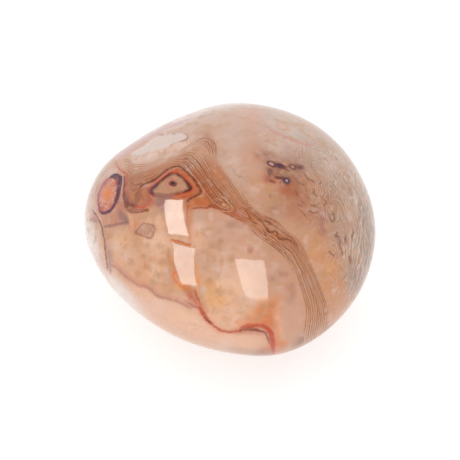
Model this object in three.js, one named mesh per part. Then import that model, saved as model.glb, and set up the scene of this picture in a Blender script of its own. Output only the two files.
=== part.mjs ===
// A carnelian agate tumbled stone: one solid pebble, tumbled until it has no edge left, lying on its
// flattest side. Millimetres, +Z up. The origin is on the surface that the stone rests on, under the
// middle of its length and breadth. X runs along its length and Z through its thickness.

import * as THREE from "three";
import { mergeVertices } from "three/addons/utils/BufferGeometryUtils.js";

// Half sizes of the rounded lump that the stone is shaped from.
const HALF_LENGTH = 22.5;
const HALF_BREADTH = 21.2;
const HALF_THICKNESS = 17.4;

// The outline that an eye in front of the stone and this far above the horizon sees: its radius in
// every direction round the middle, counter-clockwise from +X in equal steps.
const EYE_ELEVATION = THREE.MathUtils.degToRad(50);
const OUTLINE_RADII = [
  22.5, 22.0, 21.4, 20.4, 19.8, 19.3, 20.1, 22.3, 22.5, 20.6, 18.9, 18.4, 18.9, 20.6, 21.6, 22.2,
];

// Broad faces that tumbling has worn: the way each one looks, its distance from the middle, how
// gently it runs into the rest, and how much of the bulge beyond it is gone.
const WORN_FACES = [
  { looks: [-0.4, 0.15, 0.9], distance: 17.4, softness: 1.6, worn: 0.5 },
  { looks: [0.6, 0.8, 0.0], distance: 19.6, softness: 2.0, worn: 0.6 },
  { looks: [-0.5, 0.8, -0.33], distance: 18.2, softness: 2.0, worn: 0.6 },
  { looks: [0.55, -0.2, -0.81], distance: 17.0, softness: 2.0, worn: 0.5 },
];

// The face that the stone rests on: how far the rest of the underside would reach below it, and the
// height over which the flat runs into the round.
const REST_DEPTH = 1.4;
const REST_SOFTNESS = 0.7;

// Squares along each edge of the cube whose grid is blown up into the stone.
const GRID_SQUARES = 24;

// The eye's own right and up, and the rounded lump's half height along that up.
const EYE_RIGHT = new THREE.Vector3(1, 0, 0);
const EYE_UP = new THREE.Vector3(0, Math.sin(EYE_ELEVATION), Math.cos(EYE_ELEVATION));
const LUMP_RISE = Math.hypot(
  HALF_BREADTH * Math.sin(EYE_ELEVATION),
  HALF_THICKNESS * Math.cos(EYE_ELEVATION),
);

// The stone's outline radius at an angle, as a smooth closed curve through OUTLINE_RADII.
function outlineRadius(angle) {
  const count = OUTLINE_RADII.length;
  const place = THREE.MathUtils.euclideanModulo(angle / (2 * Math.PI), 1) * count;
  const step = Math.floor(place);
  const share = place - step;
  const [before, start, end, after] = [-1, 0, 1, 2].map(
    (shift) => OUTLINE_RADII[(step + shift + count) % count],
  );
  const bend = 3 * (start - end) + after - before;
  const slope = 2 * before - 5 * start + 4 * end - after;
  return start + 0.5 * share * (end - before + share * (slope + share * bend));
}

// The rounded lump's own outline radius at an angle, seen from the same place: an ellipse.
function lumpRadius(angle) {
  return 1 / Math.hypot(Math.cos(angle) / HALF_LENGTH, Math.sin(angle) / LUMP_RISE);
}

// How far a bulge that stands height above a face is cut back, smoothly from one softness below it.
function cutBack(height, softness) {
  if (height <= -softness) return 0;
  if (height >= softness) return height;
  return (height + softness) ** 2 / (4 * softness);
}

// A point of the rounded lump, in the direction from its middle.
function lumpPoint(direction) {
  return new THREE.Vector3(
    HALF_LENGTH * direction.x,
    HALF_BREADTH * direction.y,
    HALF_THICKNESS * direction.z,
  );
}

// Stretches the lump across the line of sight until it has the stone's outline. The stretch fades
// out towards the middle of the outline, so both sides of the stone stay smooth there.
function fitOutline(point) {
  const right = point.dot(EYE_RIGHT);
  const up = point.dot(EYE_UP);
  const angle = Math.atan2(up, right);
  const reach = Math.min(1, Math.hypot(right, up) / lumpRadius(angle));
  const full = outlineRadius(angle) / lumpRadius(angle) - 1;
  const stretch = full * THREE.MathUtils.smoothstep(reach, 0, 1);
  return point
    .addScaledVector(EYE_RIGHT, right * stretch)
    .addScaledVector(EYE_UP, up * stretch);
}

// Wears the broad faces into the lump.
function wearFaces(point) {
  for (const face of WORN_FACES) {
    const looks = new THREE.Vector3(...face.looks).normalize();
    const height = point.dot(looks) - face.distance;
    point.addScaledVector(looks, -face.worn * cutBack(height, face.softness));
  }
  return point;
}

// Stands the stone on the floor and flattens what would reach below it.
function settle(point) {
  const height = point.z + HALF_THICKNESS - REST_DEPTH;
  point.z = height <= -REST_SOFTNESS ? 0 : height + cutBack(-height, REST_SOFTNESS);
  return point;
}

// The stone's surface: a cube's even grid, blown up and shaped point by point.
function stoneGeometry() {
  const grid = new THREE.BoxGeometry(2, 2, 2, GRID_SQUARES, GRID_SQUARES, GRID_SQUARES);
  grid.deleteAttribute("normal");
  grid.deleteAttribute("uv");
  const skin = mergeVertices(grid, 1e-4);
  const places = skin.getAttribute("position");
  const direction = new THREE.Vector3();
  for (let i = 0; i < places.count; i++) {
    direction.fromBufferAttribute(places, i);
    for (const axis of ["x", "y", "z"]) direction[axis] = Math.tan((direction[axis] * Math.PI) / 4);
    direction.normalize();
    const point = settle(wearFaces(fitOutline(lumpPoint(direction))));
    places.setXYZ(i, point.x, point.y, point.z);
  }
  skin.computeBoundingBox();
  const middle = skin.boundingBox.getCenter(new THREE.Vector3());
  skin.translate(-middle.x, -middle.y, 0);
  skin.computeVertexNormals();
  return skin;
}

// Polished carnelian agate: salmon chalcedony with a wet gloss.
const agate = new THREE.MeshStandardMaterial({ color: 0xd9a283, roughness: 0.08, metalness: 0 });

const stone = new THREE.Group();
const pebble = new THREE.Mesh(stoneGeometry(), agate);
pebble.name = "tumbled_stone";
stone.add(pebble);

export default stone;
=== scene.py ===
"""Finishes a carnelian agate tumbled stone: its smooth polished skin, bands, eyes, veins and soft colours,
some of which are painted reflection, highlight and shade.

The markings are drawn on the side that the photograph shows. The ribbon of bands carries on through the
stone to the far side, where other lines, rings and soft colours of the same kind take the place of the rest.
"""

import logging
import math
from dataclasses import dataclass, field
from enum import Enum
from typing import Any, Iterable, Union

import bpy
import numpy as np
from mathutils import Matrix, Vector
from mathutils.bvhtree import BVHTree


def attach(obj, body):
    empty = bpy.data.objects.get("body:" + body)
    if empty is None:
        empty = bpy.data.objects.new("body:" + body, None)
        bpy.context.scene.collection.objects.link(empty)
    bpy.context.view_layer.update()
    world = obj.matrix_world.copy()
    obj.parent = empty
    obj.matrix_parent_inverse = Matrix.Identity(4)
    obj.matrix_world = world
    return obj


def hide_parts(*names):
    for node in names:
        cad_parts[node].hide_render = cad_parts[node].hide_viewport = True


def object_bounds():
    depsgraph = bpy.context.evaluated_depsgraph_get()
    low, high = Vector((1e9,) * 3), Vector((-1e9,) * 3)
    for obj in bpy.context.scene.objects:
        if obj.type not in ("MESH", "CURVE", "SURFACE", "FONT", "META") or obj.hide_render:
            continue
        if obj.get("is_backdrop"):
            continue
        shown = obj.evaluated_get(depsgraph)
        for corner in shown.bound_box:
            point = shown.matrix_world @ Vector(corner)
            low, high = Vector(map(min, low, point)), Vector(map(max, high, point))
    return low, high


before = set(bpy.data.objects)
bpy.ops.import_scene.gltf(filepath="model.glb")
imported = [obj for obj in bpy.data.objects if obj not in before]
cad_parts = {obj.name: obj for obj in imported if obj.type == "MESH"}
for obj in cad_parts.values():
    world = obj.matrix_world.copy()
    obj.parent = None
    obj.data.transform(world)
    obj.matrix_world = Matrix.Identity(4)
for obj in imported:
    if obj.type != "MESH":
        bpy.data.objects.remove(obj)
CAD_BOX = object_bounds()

LOG = logging.getLogger("tumbled_stone")

MM = 0.001
TINY = 1e-6

# White light that the polish adds to every colour, so each pigment is mixed that much darker.
GLOSS_VEIL = 0.026
# How brightly the white room lights a white surface, in red, green and blue.
ROOM_LIGHT = np.array((1.1, 1.115, 1.135))
# The half width, in millimetres, that stands for no line at all.
ABSENT = -1.5
# The share of a coat's softness that lies outside its edge.
SOFT_OUTSIDE = 0.3
# What a layer of spots holds where it has none: the place, the look, the edge's colour and the core's.
BLANK_SPOT = ((9.0, 9.0, 1.0), (0.0, 0.0, 0.1), (0.0, 0.0, 0.0), (0.0, 0.0, 0.0))
# Noise nodes give values near a half. This takes them from about -1 to 1.
NOISE_MIDDLE = 0.5
NOISE_GAIN = 3.2


class Pigment(Enum):
    """The stone's colours as the photograph shows them, red, green and blue out of 255, some of them laid as
    painted reflection, highlight and shade.
    """

    SAND = (224, 178, 151)
    PEACH = (222, 173, 142)
    PEACH_CREAM = (227, 191, 170)
    BLUSH = (232, 186, 160)
    # Also laid as the painted highlight beside the crack, and as painted reflection on the stone at the upper
    # and lower left.
    PALE_BLUSH = (228, 196, 182)
    SHELL = (208, 179, 166)
    SHELL_PINK = (213, 169, 152)
    CREAM = (205, 168, 147)
    TAUPE = (187, 161, 144)
    COOL_TAUPE = (194, 171, 157)
    CLAY = (205, 149, 112)
    CLAY_ROSE = (200, 152, 126)
    DEEP_CLAY = (184, 132, 103)
    HAZE = (152, 104, 89)
    SALMON = (219, 162, 127)
    GLOW = (231, 176, 128)
    ORANGE = (220, 136, 84)
    EMBER = (226, 108, 66)
    OLIVE = (186, 146, 112)
    # Also part of the painted reflection in the pale streak at the upper left.
    MILK = (223, 206, 199)
    TAN = (192, 139, 108)
    OCHRE = (186, 114, 78)
    OCHRE_ORANGE = (188, 104, 62)
    RIBBON_PALE = (206, 156, 128)
    WARM_TAUPE = (186, 154, 134)
    CLAY_TAUPE = (181, 138, 115)
    CLAY_BROWN = (178, 130, 108)
    SALMON_CLAY = (203, 152, 118)
    MAUVE_BEIGE = (208, 162, 140)
    DUSKY_ROSE = (186, 130, 114)
    SIENNA = (148, 86, 60)
    PURPLE = (82, 58, 78)
    PURPLE_BROWN = (92, 50, 46)
    MAUVE = (176, 134, 120)
    LILAC = (196, 172, 182)
    SLATE = (92, 70, 86)
    BLUE_GREY = (112, 100, 116)
    UMBER = (120, 78, 70)
    GREY_MAUVE = (164, 126, 118)
    MAUVE_PINK = (204, 164, 166)
    WINE = (138, 80, 72)
    RED = (204, 82, 64)
    CRIMSON = (186, 92, 88)
    ROSE_RED = (205, 120, 110)
    REDDISH = (186, 106, 84)
    ROSE_LINE = (204, 148, 138)
    GREY_BROWN = (156, 128, 116)
    CORE_ORANGE = (220, 132, 76)
    CORE_ROSE = (220, 140, 112)
    OVAL_CREAM = (226, 172, 148)
    FLESH_RED = (208, 128, 112)
    MAGENTA = (152, 82, 98)
    DUSTY_PINK = (196, 144, 130)
    WARM_TAN = (197, 147, 109)
    OCHRE_ROSE = (198, 126, 92)
    UMBER_OCHRE = (158, 100, 78)
    PLUM = (112, 64, 64)
    PLUM_GREY = (104, 84, 76)
    MAROON = (164, 84, 76)
    CORAL = (212, 102, 80)
    CORAL_DARK = (200, 102, 74)
    CORAL_GLOW = (226, 136, 108)
    TANGERINE = (224, 124, 68)
    SUNLIT = (238, 160, 92)
    BARK = (112, 60, 40)
    CHESTNUT = (150, 76, 46)
    AMBER_BROWN = (182, 104, 56)
    OCHRE_SAND = (204, 132, 84)
    SIENNA_DARK = (128, 74, 50)
    SMOKE = (146, 106, 102)
    PEACH_GLOW = (230, 172, 140)
    VEIN_RED = (178, 84, 66)
    BAND_ORANGE = (184, 88, 44)
    HONEY = (222, 160, 102)
    PUPIL = (62, 44, 40)
    THREAD_RUST = (138, 78, 54)
    PEACH_PALE = (240, 196, 168)
    UMBER_CLAY = (168, 114, 88)
    TOP_GREY = (208, 188, 179)
    # The colour of the fine lines at the right, and also painted shade along the lower rim.
    RIM_CLAY = (160, 124, 108)
    # Used for painted shade along the right rim.
    RIM_SHADE = (152, 134, 122)
    PEACH_LIGHT = (231, 180, 150)
    ROSE_GREY = (172, 116, 104)
    DIM_MAUVE = (156, 112, 102)
    # A pale white for the contour lines, and for the painted reflection of the white room along the rim, over
    # a pale skin at the left.
    RIM_WHITE = (238, 230, 226)
    THREAD_DARK = (116, 84, 76)
    THREAD_BROWN = (146, 96, 76)
    EMBER_ORANGE = (206, 108, 64)
    SLATE_DARK = (88, 72, 92)
    ROSE_PLUM = (140, 72, 62)
    ASH_BROWN = (150, 120, 104)
    # Also painted shade along the rim, besides spots and the contour lines' dark.
    GREY_UMBER = (140, 108, 94)
    DEEP_OCHRE = (176, 98, 60)
    DUSKY_CORAL = (190, 124, 106)
    CLAY_RED = (181, 122, 96)
    RUSSET = (172, 104, 76)
    AMBER_RUST = (198, 112, 66)
    FIELD = (220, 144, 100)
    BRICK = (188, 76, 56)

    def seen(self) -> np.ndarray:
        """The colour as linear light."""
        share = np.array(self.value, float) / 255
        return np.where(share <= 0.04045, share / 12.92, ((share + 0.055) / 1.055) ** 2.4)

    def mixed(self) -> np.ndarray:
        """The colour to give the stone, so that it looks like this under the polish and the room light."""
        return np.clip((self.seen() - GLOSS_VEIL) / ROOM_LIGHT, 0.002, 1)

    def rgba(self) -> tuple[float, float, float, float]:
        """The mixed colour with full opacity."""
        return (*(float(c) for c in self.mixed()), 1.0)


class Side(Enum):
    """The side of the stone that a line, a spot or a soft colour lies on, as the photograph's eye sees it."""

    NEAR = 1
    FAR = -1


@dataclass(frozen=True)
class Seen:
    """The stone's vertices as the photograph's eye sees them, one row each.

    Pixels run from the left and from the top of the picture. Depth is how far a vertex stands towards the eye
    from the stone's middle, in millimetres.
    """

    pixels: np.ndarray
    depth: np.ndarray


@dataclass(frozen=True)
class Eye:
    """The place that the photograph was taken from, and what a pixel of it means on the stone.

    Places are in metres, the lens and the film in millimetres, and the picture's width and height in pixels.
    """

    elevation: float = math.radians(50)
    distance: float = 0.296
    aim: tuple[float, float, float] = (0.00002, -0.00042, 0.01615)
    lens: float = 150.0
    film: float = 36.0
    nearest: float = 0.01
    picture: int = 460

    @property
    def right(self) -> np.ndarray:
        """The picture's own right."""
        return np.array([1.0, 0.0, 0.0])

    @property
    def up(self) -> np.ndarray:
        """The picture's own up."""
        return np.array([0.0, math.sin(self.elevation), math.cos(self.elevation)])

    @property
    def back(self) -> np.ndarray:
        """The way from the stone to the eye."""
        return np.array([0.0, -math.cos(self.elevation), math.sin(self.elevation)])

    @property
    def place(self) -> np.ndarray:
        """Where the eye is."""
        return np.array(self.aim) + self.distance * self.back

    @property
    def scale(self) -> float:
        """Pixels to a length as long as its distance from the eye."""
        return self.picture * self.lens / self.film

    @property
    def pixels_per_mm(self) -> float:
        """Pixels to a millimetre at the middle of the stone."""
        return self.scale / (self.distance / MM)

    def sees(self, points: np.ndarray) -> Seen:
        """Where points of the stone lie in the picture, and how deep.

        Args:
            points: places in metres, one row each.

        Returns:
            Their pixels and depths.
        """
        sight = points - self.place
        away = -(sight @ self.back)
        across = self.picture / 2 + self.scale * (sight @ self.right) / away
        down = self.picture / 2 - self.scale * (sight @ self.up) / away
        return Seen(columns(across, down), (points - np.array(self.aim)) @ self.back / MM)

    def ray(self, pixel: tuple[float, float]) -> tuple[Vector, Vector]:
        """The line of sight through a pixel.

        Args:
            pixel: how far it is from the left and from the top.

        Returns:
            The eye's place and the line's direction.
        """
        across = (pixel[0] - self.picture / 2) / self.scale
        rise = (self.picture / 2 - pixel[1]) / self.scale
        way = across * self.right + rise * self.up - self.back
        return Vector(self.place), Vector(way).normalized()

    def build(self) -> bpy.types.Object:
        """Adds the camera and makes it the scene's own.

        Returns:
            The camera.
        """
        data = bpy.data.cameras.new("photo_camera")
        data.lens = self.lens
        data.sensor_width = self.film
        data.clip_start = self.nearest
        camera = bpy.data.objects.new("photo_camera", data)
        bpy.context.scene.collection.objects.link(camera)
        turn = Matrix([self.right, self.up, self.back]).transposed().to_4x4()
        camera.matrix_world = Matrix.Translation(Vector(self.place)) @ turn
        bpy.context.scene.camera = camera
        return camera


EYE = Eye()


def eased(value: np.ndarray, low: float, high: float) -> np.ndarray:
    """Rises smoothly from 0 at low to 1 at high."""
    share = np.clip((value - low) / (high - low), 0, 1)
    return share * share * (3 - 2 * share)


def columns(*values: Union[np.ndarray, float]) -> np.ndarray:
    """Puts columns of numbers, or single numbers, side by side."""
    return np.stack(np.broadcast_arrays(*values), 1)


def turned(places: np.ndarray, degrees: float) -> tuple[np.ndarray, np.ndarray]:
    """Measures places along the axes of a mark that is turned clockwise in the picture.

    Args:
        places: the places from the mark's middle, one row each.
        degrees: how far the mark is turned.

    Returns:
        How far they lie along its first axis and along its second.
    """
    x, y = places.T
    cosine, sine = math.cos(math.radians(degrees)), math.sin(math.radians(degrees))
    return x * cosine + y * sine, y * cosine - x * sine


def smooth_run(keys: np.ndarray, steps: int, closed: bool = False) -> np.ndarray:
    """A smooth curve through key rows.

    Args:
        keys: the rows, of any width.
        steps: short pieces between two keys.
        closed: whether the curve comes back to its first row.

    Returns:
        The curve's rows.
    """
    if closed:
        padded = np.concatenate([keys[-1:], keys, keys[:2]])
    else:
        padded = np.concatenate([2 * keys[:1] - keys[1:2], keys, 2 * keys[-1:] - keys[-2:-1]])
    rows = []
    for before, start, end, after in zip(padded, padded[1:], padded[2:], padded[3:]):
        for t in np.arange(steps) / steps:
            bend = -before + 3 * start - 3 * end + after
            slope = 2 * before - 5 * start + 4 * end - after
            rows.append(start + 0.5 * t * (end - before + t * (slope + t * bend)))
    rows.append(padded[-2])
    return np.array(rows)


def signed_area(run: np.ndarray) -> float:
    """Twice the area inside a closed run of pixels, above 0 where the run goes clockwise in the picture."""
    x, y = run[:, 0], run[:, 1]
    return float(np.sum(x * np.roll(y, -1) - np.roll(x, -1) * y))


def nearest_on(
    run: np.ndarray, places: np.ndarray
) -> tuple[np.ndarray, np.ndarray, np.ndarray, np.ndarray]:
    """Finds each place's nearest point on a run of short straight pieces.

    Args:
        run: the run's corners.
        places: the places, in the same pixels.

    Returns:
        The signed distance, above 0 to the right of the run's way in the picture; the place on the run in
        corners; the length up to there; and how far a place lies beyond either end.
    """
    ways = np.diff(run, axis=0)
    lengths = np.maximum(np.linalg.norm(ways, axis=1), TINY)
    upto = np.concatenate([[0], np.cumsum(lengths)])
    tangents = np.gradient(run, axis=0)
    best = np.full(len(places), np.inf)
    share = np.zeros(len(places))
    for i, (corner, way, length) in enumerate(zip(run, ways, lengths)):
        t = np.clip((places - corner) @ way / length**2, 0, 1)
        gap = np.linalg.norm(places - corner - t[:, None] * way, axis=1)
        closer = gap < best
        best[closer] = gap[closer]
        share[closer] = i + t[closer]
    base = np.minimum(share.astype(int), len(run) - 2)
    part = (share - base)[:, None]
    foot = run[base] + part * ways[base]
    tangent = tangents[base] * (1 - part) + tangents[base + 1] * part
    tangent /= np.maximum(np.linalg.norm(tangent, axis=1, keepdims=True), TINY)
    away = places - foot
    side = np.where(tangent[:, 0] * away[:, 1] - tangent[:, 1] * away[:, 0] >= 0, 1.0, -1.0)
    beyond = np.abs(np.sum(away * tangent, 1)) * ((share <= 0) | (share >= len(run) - 1))
    return best * side, share, np.interp(share, np.arange(len(run)), upto), beyond


@dataclass(frozen=True)
class Coat:
    """A colour laid along a drawn line, between two distances from it.

    Softness, distances and bleed are in millimetres. A distance is below 0 to the left of the line's way in
    the picture, or inside a closed line. Without distances, the coat covers the line's own width. A coat that
    bleeds runs out that much further, at under half its strength. Speckle is the share of the coat that is
    missing between the grains of the stone, or with a minus sign in them.
    """

    pigment: Pigment
    strength: float
    soft: float
    start: Union[float, None] = None
    end: float = 0.0
    bleed: float = 0.0
    speckle: float = 0.2


@dataclass(frozen=True)
class Stroke:
    """One coat of one line as every vertex sees it.

    It holds how far away the coat's middle is and half its width there, in millimetres, and how strong it is.
    """

    coat: Coat
    away: np.ndarray
    half: np.ndarray
    strength: np.ndarray

    def near(self, margin: float) -> np.ndarray:
        """Which vertices lie within a margin of the coat."""
        faded = max(self.coat.bleed, SOFT_OUTSIDE * self.coat.soft)
        return np.abs(self.away) - self.half < margin + faded


@dataclass(frozen=True)
class Line:
    """A line drawn on the stone, through points picked in the photograph.

    Each point is a pixel from the left and a pixel from the top, and then half the line's width in
    millimetres where it isn't the line's own. A line that isn't closed has pointed ends.
    """

    name: str
    half: float
    coats: tuple[Coat, ...]
    points: tuple[tuple[float, ...], ...]
    closed: bool = False
    side: Side = Side.NEAR

    # Short pieces between two points, and how far from the line it is measured, in millimetres.
    STEPS = 5
    REACH = 2.2
    # The half width below which a line fades, and how much wider than picked its colour is laid.
    FINE = 0.06
    SPREAD = 1.2
    # How far behind the stone's middle a line starts to close, how fast it does, and its wide coats with it.
    RIM_DEPTH = 0.2
    RIM_TAPER = 1.2
    COAT_TAPER = 10.0

    def curve(self) -> np.ndarray:
        """A smooth run of places and half widths through the points.

        Returns:
            The run's pixels and half widths, one row each.
        """
        keys = np.array([(*point, self.half)[:3] for point in self.points], float)
        if not self.closed:
            keys[[0, -1], 2] = 0
        return smooth_run(keys, self.STEPS, self.closed)

    def measure(self, seen: Seen) -> np.ndarray:
        """Each vertex's signed distance from the line, and the line's half width there.

        Args:
            seen: the stone's vertices.

        Returns:
            The two values in millimetres, one row for each vertex.
        """
        run = self.curve()
        path, reach = run[:, :2], self.REACH * EYE.pixels_per_mm
        depth = self.side.value * seen.depth
        around = (seen.pixels > path.min(0) - reach) & (seen.pixels < path.max(0) + reach)
        near = np.all(around, 1) & (depth > -self.REACH)
        found = np.tile([0.0, ABSENT], (len(depth), 1))
        distance, share, _, over = nearest_on(path, seen.pixels[near])
        if self.closed and signed_area(path) > 0:
            distance = -distance
        width = np.interp(share, np.arange(len(run)), run[:, 2])
        if not self.closed:
            width = width - over / EYE.pixels_per_mm
        width = width - self.RIM_TAPER * np.clip(-depth[near] - self.RIM_DEPTH, 0, None)
        found[near] = columns(distance / EYE.pixels_per_mm, width)
        return found

    def strokes(self, seen: Seen) -> Iterable[Stroke]:
        """The line's coats as the vertices see them, the lowest first.

        Args:
            seen: the stone's vertices.

        Yields:
            Each coat's stroke.
        """
        away, width = self.measure(seen).T
        fade = eased(width, 0, self.FINE)
        for coat in self.coats:
            if coat.start is None:
                yield Stroke(coat, away, self.SPREAD * width, coat.strength * fade)
            else:
                half = (coat.end - coat.start) / 2 - self.COAT_TAPER * np.clip(self.FINE - width, 0, None)
                yield Stroke(coat, away - (coat.start + coat.end) / 2, half, coat.strength * fade)


@dataclass(frozen=True)
class Threads:
    """Thin lines of one colour and half width in millimetres, each one a run of the photograph's pixels."""

    pigment: Pigment
    half: float
    strength: float
    runs: tuple[tuple[tuple[float, float], ...], ...]
    side: Side = Side.NEAR

    SOFT = 0.22

    def lines(self) -> Iterable[Line]:
        """Each run as a drawn line.

        Yields:
            The line.
        """
        coats = (Coat(self.pigment, self.strength, self.SOFT),)
        for run in self.runs:
            yield Line("thread", self.half, coats, run, side=self.side)


@dataclass
class InkLayers:
    """Sorts strokes into layers: no two in a layer come near each other, and a later stroke lies on top."""

    layers: list[list[Stroke]] = field(default_factory=list)
    inked: list[np.ndarray] = field(default_factory=list)
    taken: list[np.ndarray] = field(default_factory=list)

    # How far round a stroke its values are kept, and how near another may come, in millimetres.
    OWN = 0.25
    APART = 0.65
    # What a vertex keeps where no stroke is near.
    BLANK_LINE = (0.0, ABSENT, 0.1)
    BLANK_LOOK = (0.0, 0.0, 0.05)

    def lay(self, stroke: Stroke) -> None:
        """Lays a stroke on top of those that it covers, in the lowest layer with room for it.

        Args:
            stroke: the stroke.
        """
        drawn, own, near = (stroke.near(margin) for margin in (0.0, self.OWN, self.APART))
        level = max((i + 1 for i, area in enumerate(self.inked) if np.any(area & drawn)), default=0)
        while level < len(self.layers) and np.any(self.taken[level] & near):
            level += 1
        if level == len(self.layers):
            self.layers.append([])
            self.inked.append(np.zeros(len(near), bool))
            self.taken.append(np.zeros(len(near), bool))
        self.layers[level].append(stroke)
        self.inked[level] |= drawn
        self.taken[level] |= own

    def rows(self, layer: list[Stroke]) -> tuple[np.ndarray, np.ndarray, np.ndarray]:
        """What every vertex keeps of a layer.

        Args:
            layer: the layer's strokes.

        Returns:
            The distance, half width and softness; the strength, how much the grain changes it, and the bleed;
            and the colour. One row for each vertex.
        """
        count = len(layer[0].away)
        line = np.tile(self.BLANK_LINE, (count, 1))
        look = np.tile(self.BLANK_LOOK, (count, 1))
        colour = np.zeros((count, 3))
        for stroke in layer:
            coat, own = stroke.coat, stroke.near(self.OWN)
            strength = stroke.strength[own]
            plain = strength * (1 - 0.5 * abs(coat.speckle))
            line[own] = columns(stroke.away[own], stroke.half[own], coat.soft)
            look[own] = columns(plain, strength * coat.speckle, coat.bleed)
            colour[own] = coat.pigment.mixed()
        return line, look, colour


@dataclass(frozen=True)
class Cloud:
    """A soft patch of colour with no edge.

    Its middle is a pixel of the photograph. Its half sizes are in millimetres, and it is turned clockwise in
    the picture, in degrees.
    """

    pigment: Pigment
    x: float
    y: float
    across: float
    high: float
    turn: float = 0.0
    strength: float = 1.0
    side: Side = Side.NEAR

    # How far behind the stone's middle the patch is gone and starts to fade, in millimetres.
    GONE_AT = -6.0
    FADES_AT = -0.5
    # How suddenly it ends: 1 is the softest.
    FIRMNESS = 1.25

    def weight(self, seen: Seen) -> np.ndarray:
        """How strongly the patch colours each vertex.

        Args:
            seen: the stone's vertices.

        Returns:
            Shares from 0 to 1.
        """
        along, off = turned((seen.pixels - (self.x, self.y)) / EYE.pixels_per_mm, self.turn)
        reach = (along / self.across) ** 2 + (off / self.high) ** 2
        there = eased(self.side.value * seen.depth, self.GONE_AT, self.FADES_AT)
        return self.strength * np.exp(-(reach**self.FIRMNESS)) * there


@dataclass(frozen=True)
class Clouds:
    """Soft patches of one colour: each one's middle and half sizes, and then its turn and its strength."""

    pigment: Pigment
    rows: tuple[tuple[float, ...], ...]
    side: Side = Side.NEAR

    def clouds(self) -> Iterable[Cloud]:
        """Each row as a cloud."""
        return (Cloud(self.pigment, *row, side=self.side) for row in self.rows)


@dataclass(frozen=True)
class Blots:
    """Small round soft blots of one colour: each one's middle, its radius in millimetres and its strength."""

    pigment: Pigment
    rows: tuple[tuple[float, float, float, float], ...]

    def clouds(self) -> Iterable[Cloud]:
        """Each row as a small round cloud."""
        return (Cloud(self.pigment, x, y, size, size, 0, strength) for x, y, size, strength in self.rows)


@dataclass(frozen=True)
class Spot:
    """A small round mark with a dark edge round a core: a little eye, a blot or a speck.

    Its middle and half sizes are in pixels of the photograph, its softness is in millimetres, and it is
    turned clockwise in the picture, in degrees.
    """

    x: float
    y: float
    across: float
    high: float
    edge: Pigment
    core: Pigment
    turn: float
    soft: float
    strength: float
    fill: float
    side: Side = Side.NEAR

    # How far beyond its edge the mark is measured, in millimetres.
    REACH = 0.55

    def measure(self, seen: Seen) -> tuple[np.ndarray, np.ndarray]:
        """Where each vertex lies in the mark, and which ones lie in or near it.

        Args:
            seen: the stone's vertices.

        Returns:
            The place across and along in shares of the half sizes, with the mark's own mean radius in
            millimetres, one row for each vertex; and the vertices that the mark can reach.
        """
        x, y = turned(seen.pixels - (self.x, self.y), self.turn)
        across, high = x / self.across, y / self.high
        size = (self.across + self.high) / 2 / EYE.pixels_per_mm
        beyond = (np.hypot(across, high) - 1) * size
        reached = (beyond < self.REACH) & (self.side.value * seen.depth > 0)
        return columns(across, high, size), reached


def spot_layers(spots: Iterable[Spot], seen: Seen) -> list[list[np.ndarray]]:
    """Sorts spots into layers in which none comes near another.

    Args:
        spots: the spots.
        seen: the stone's vertices.

    Returns:
        For each layer, the places, the looks, the edge colours and the core colours, one row for each vertex.
    """
    count = len(seen.depth)
    layers, taken = [], []
    for spot in spots:
        place, reached = spot.measure(seen)
        level = next((i for i, area in enumerate(taken) if not np.any(area & reached)), len(layers))
        if level == len(layers):
            layers.append([np.tile(row, (count, 1)) for row in BLANK_SPOT])
            taken.append(np.zeros(count, bool))
        look = (spot.strength, spot.fill, spot.soft)
        rows = (place[reached], look, spot.edge.mixed(), spot.core.mixed())
        for kept, row in zip(layers[level], rows):
            kept[reached] = row
        taken[level] |= reached
    return layers


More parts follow.
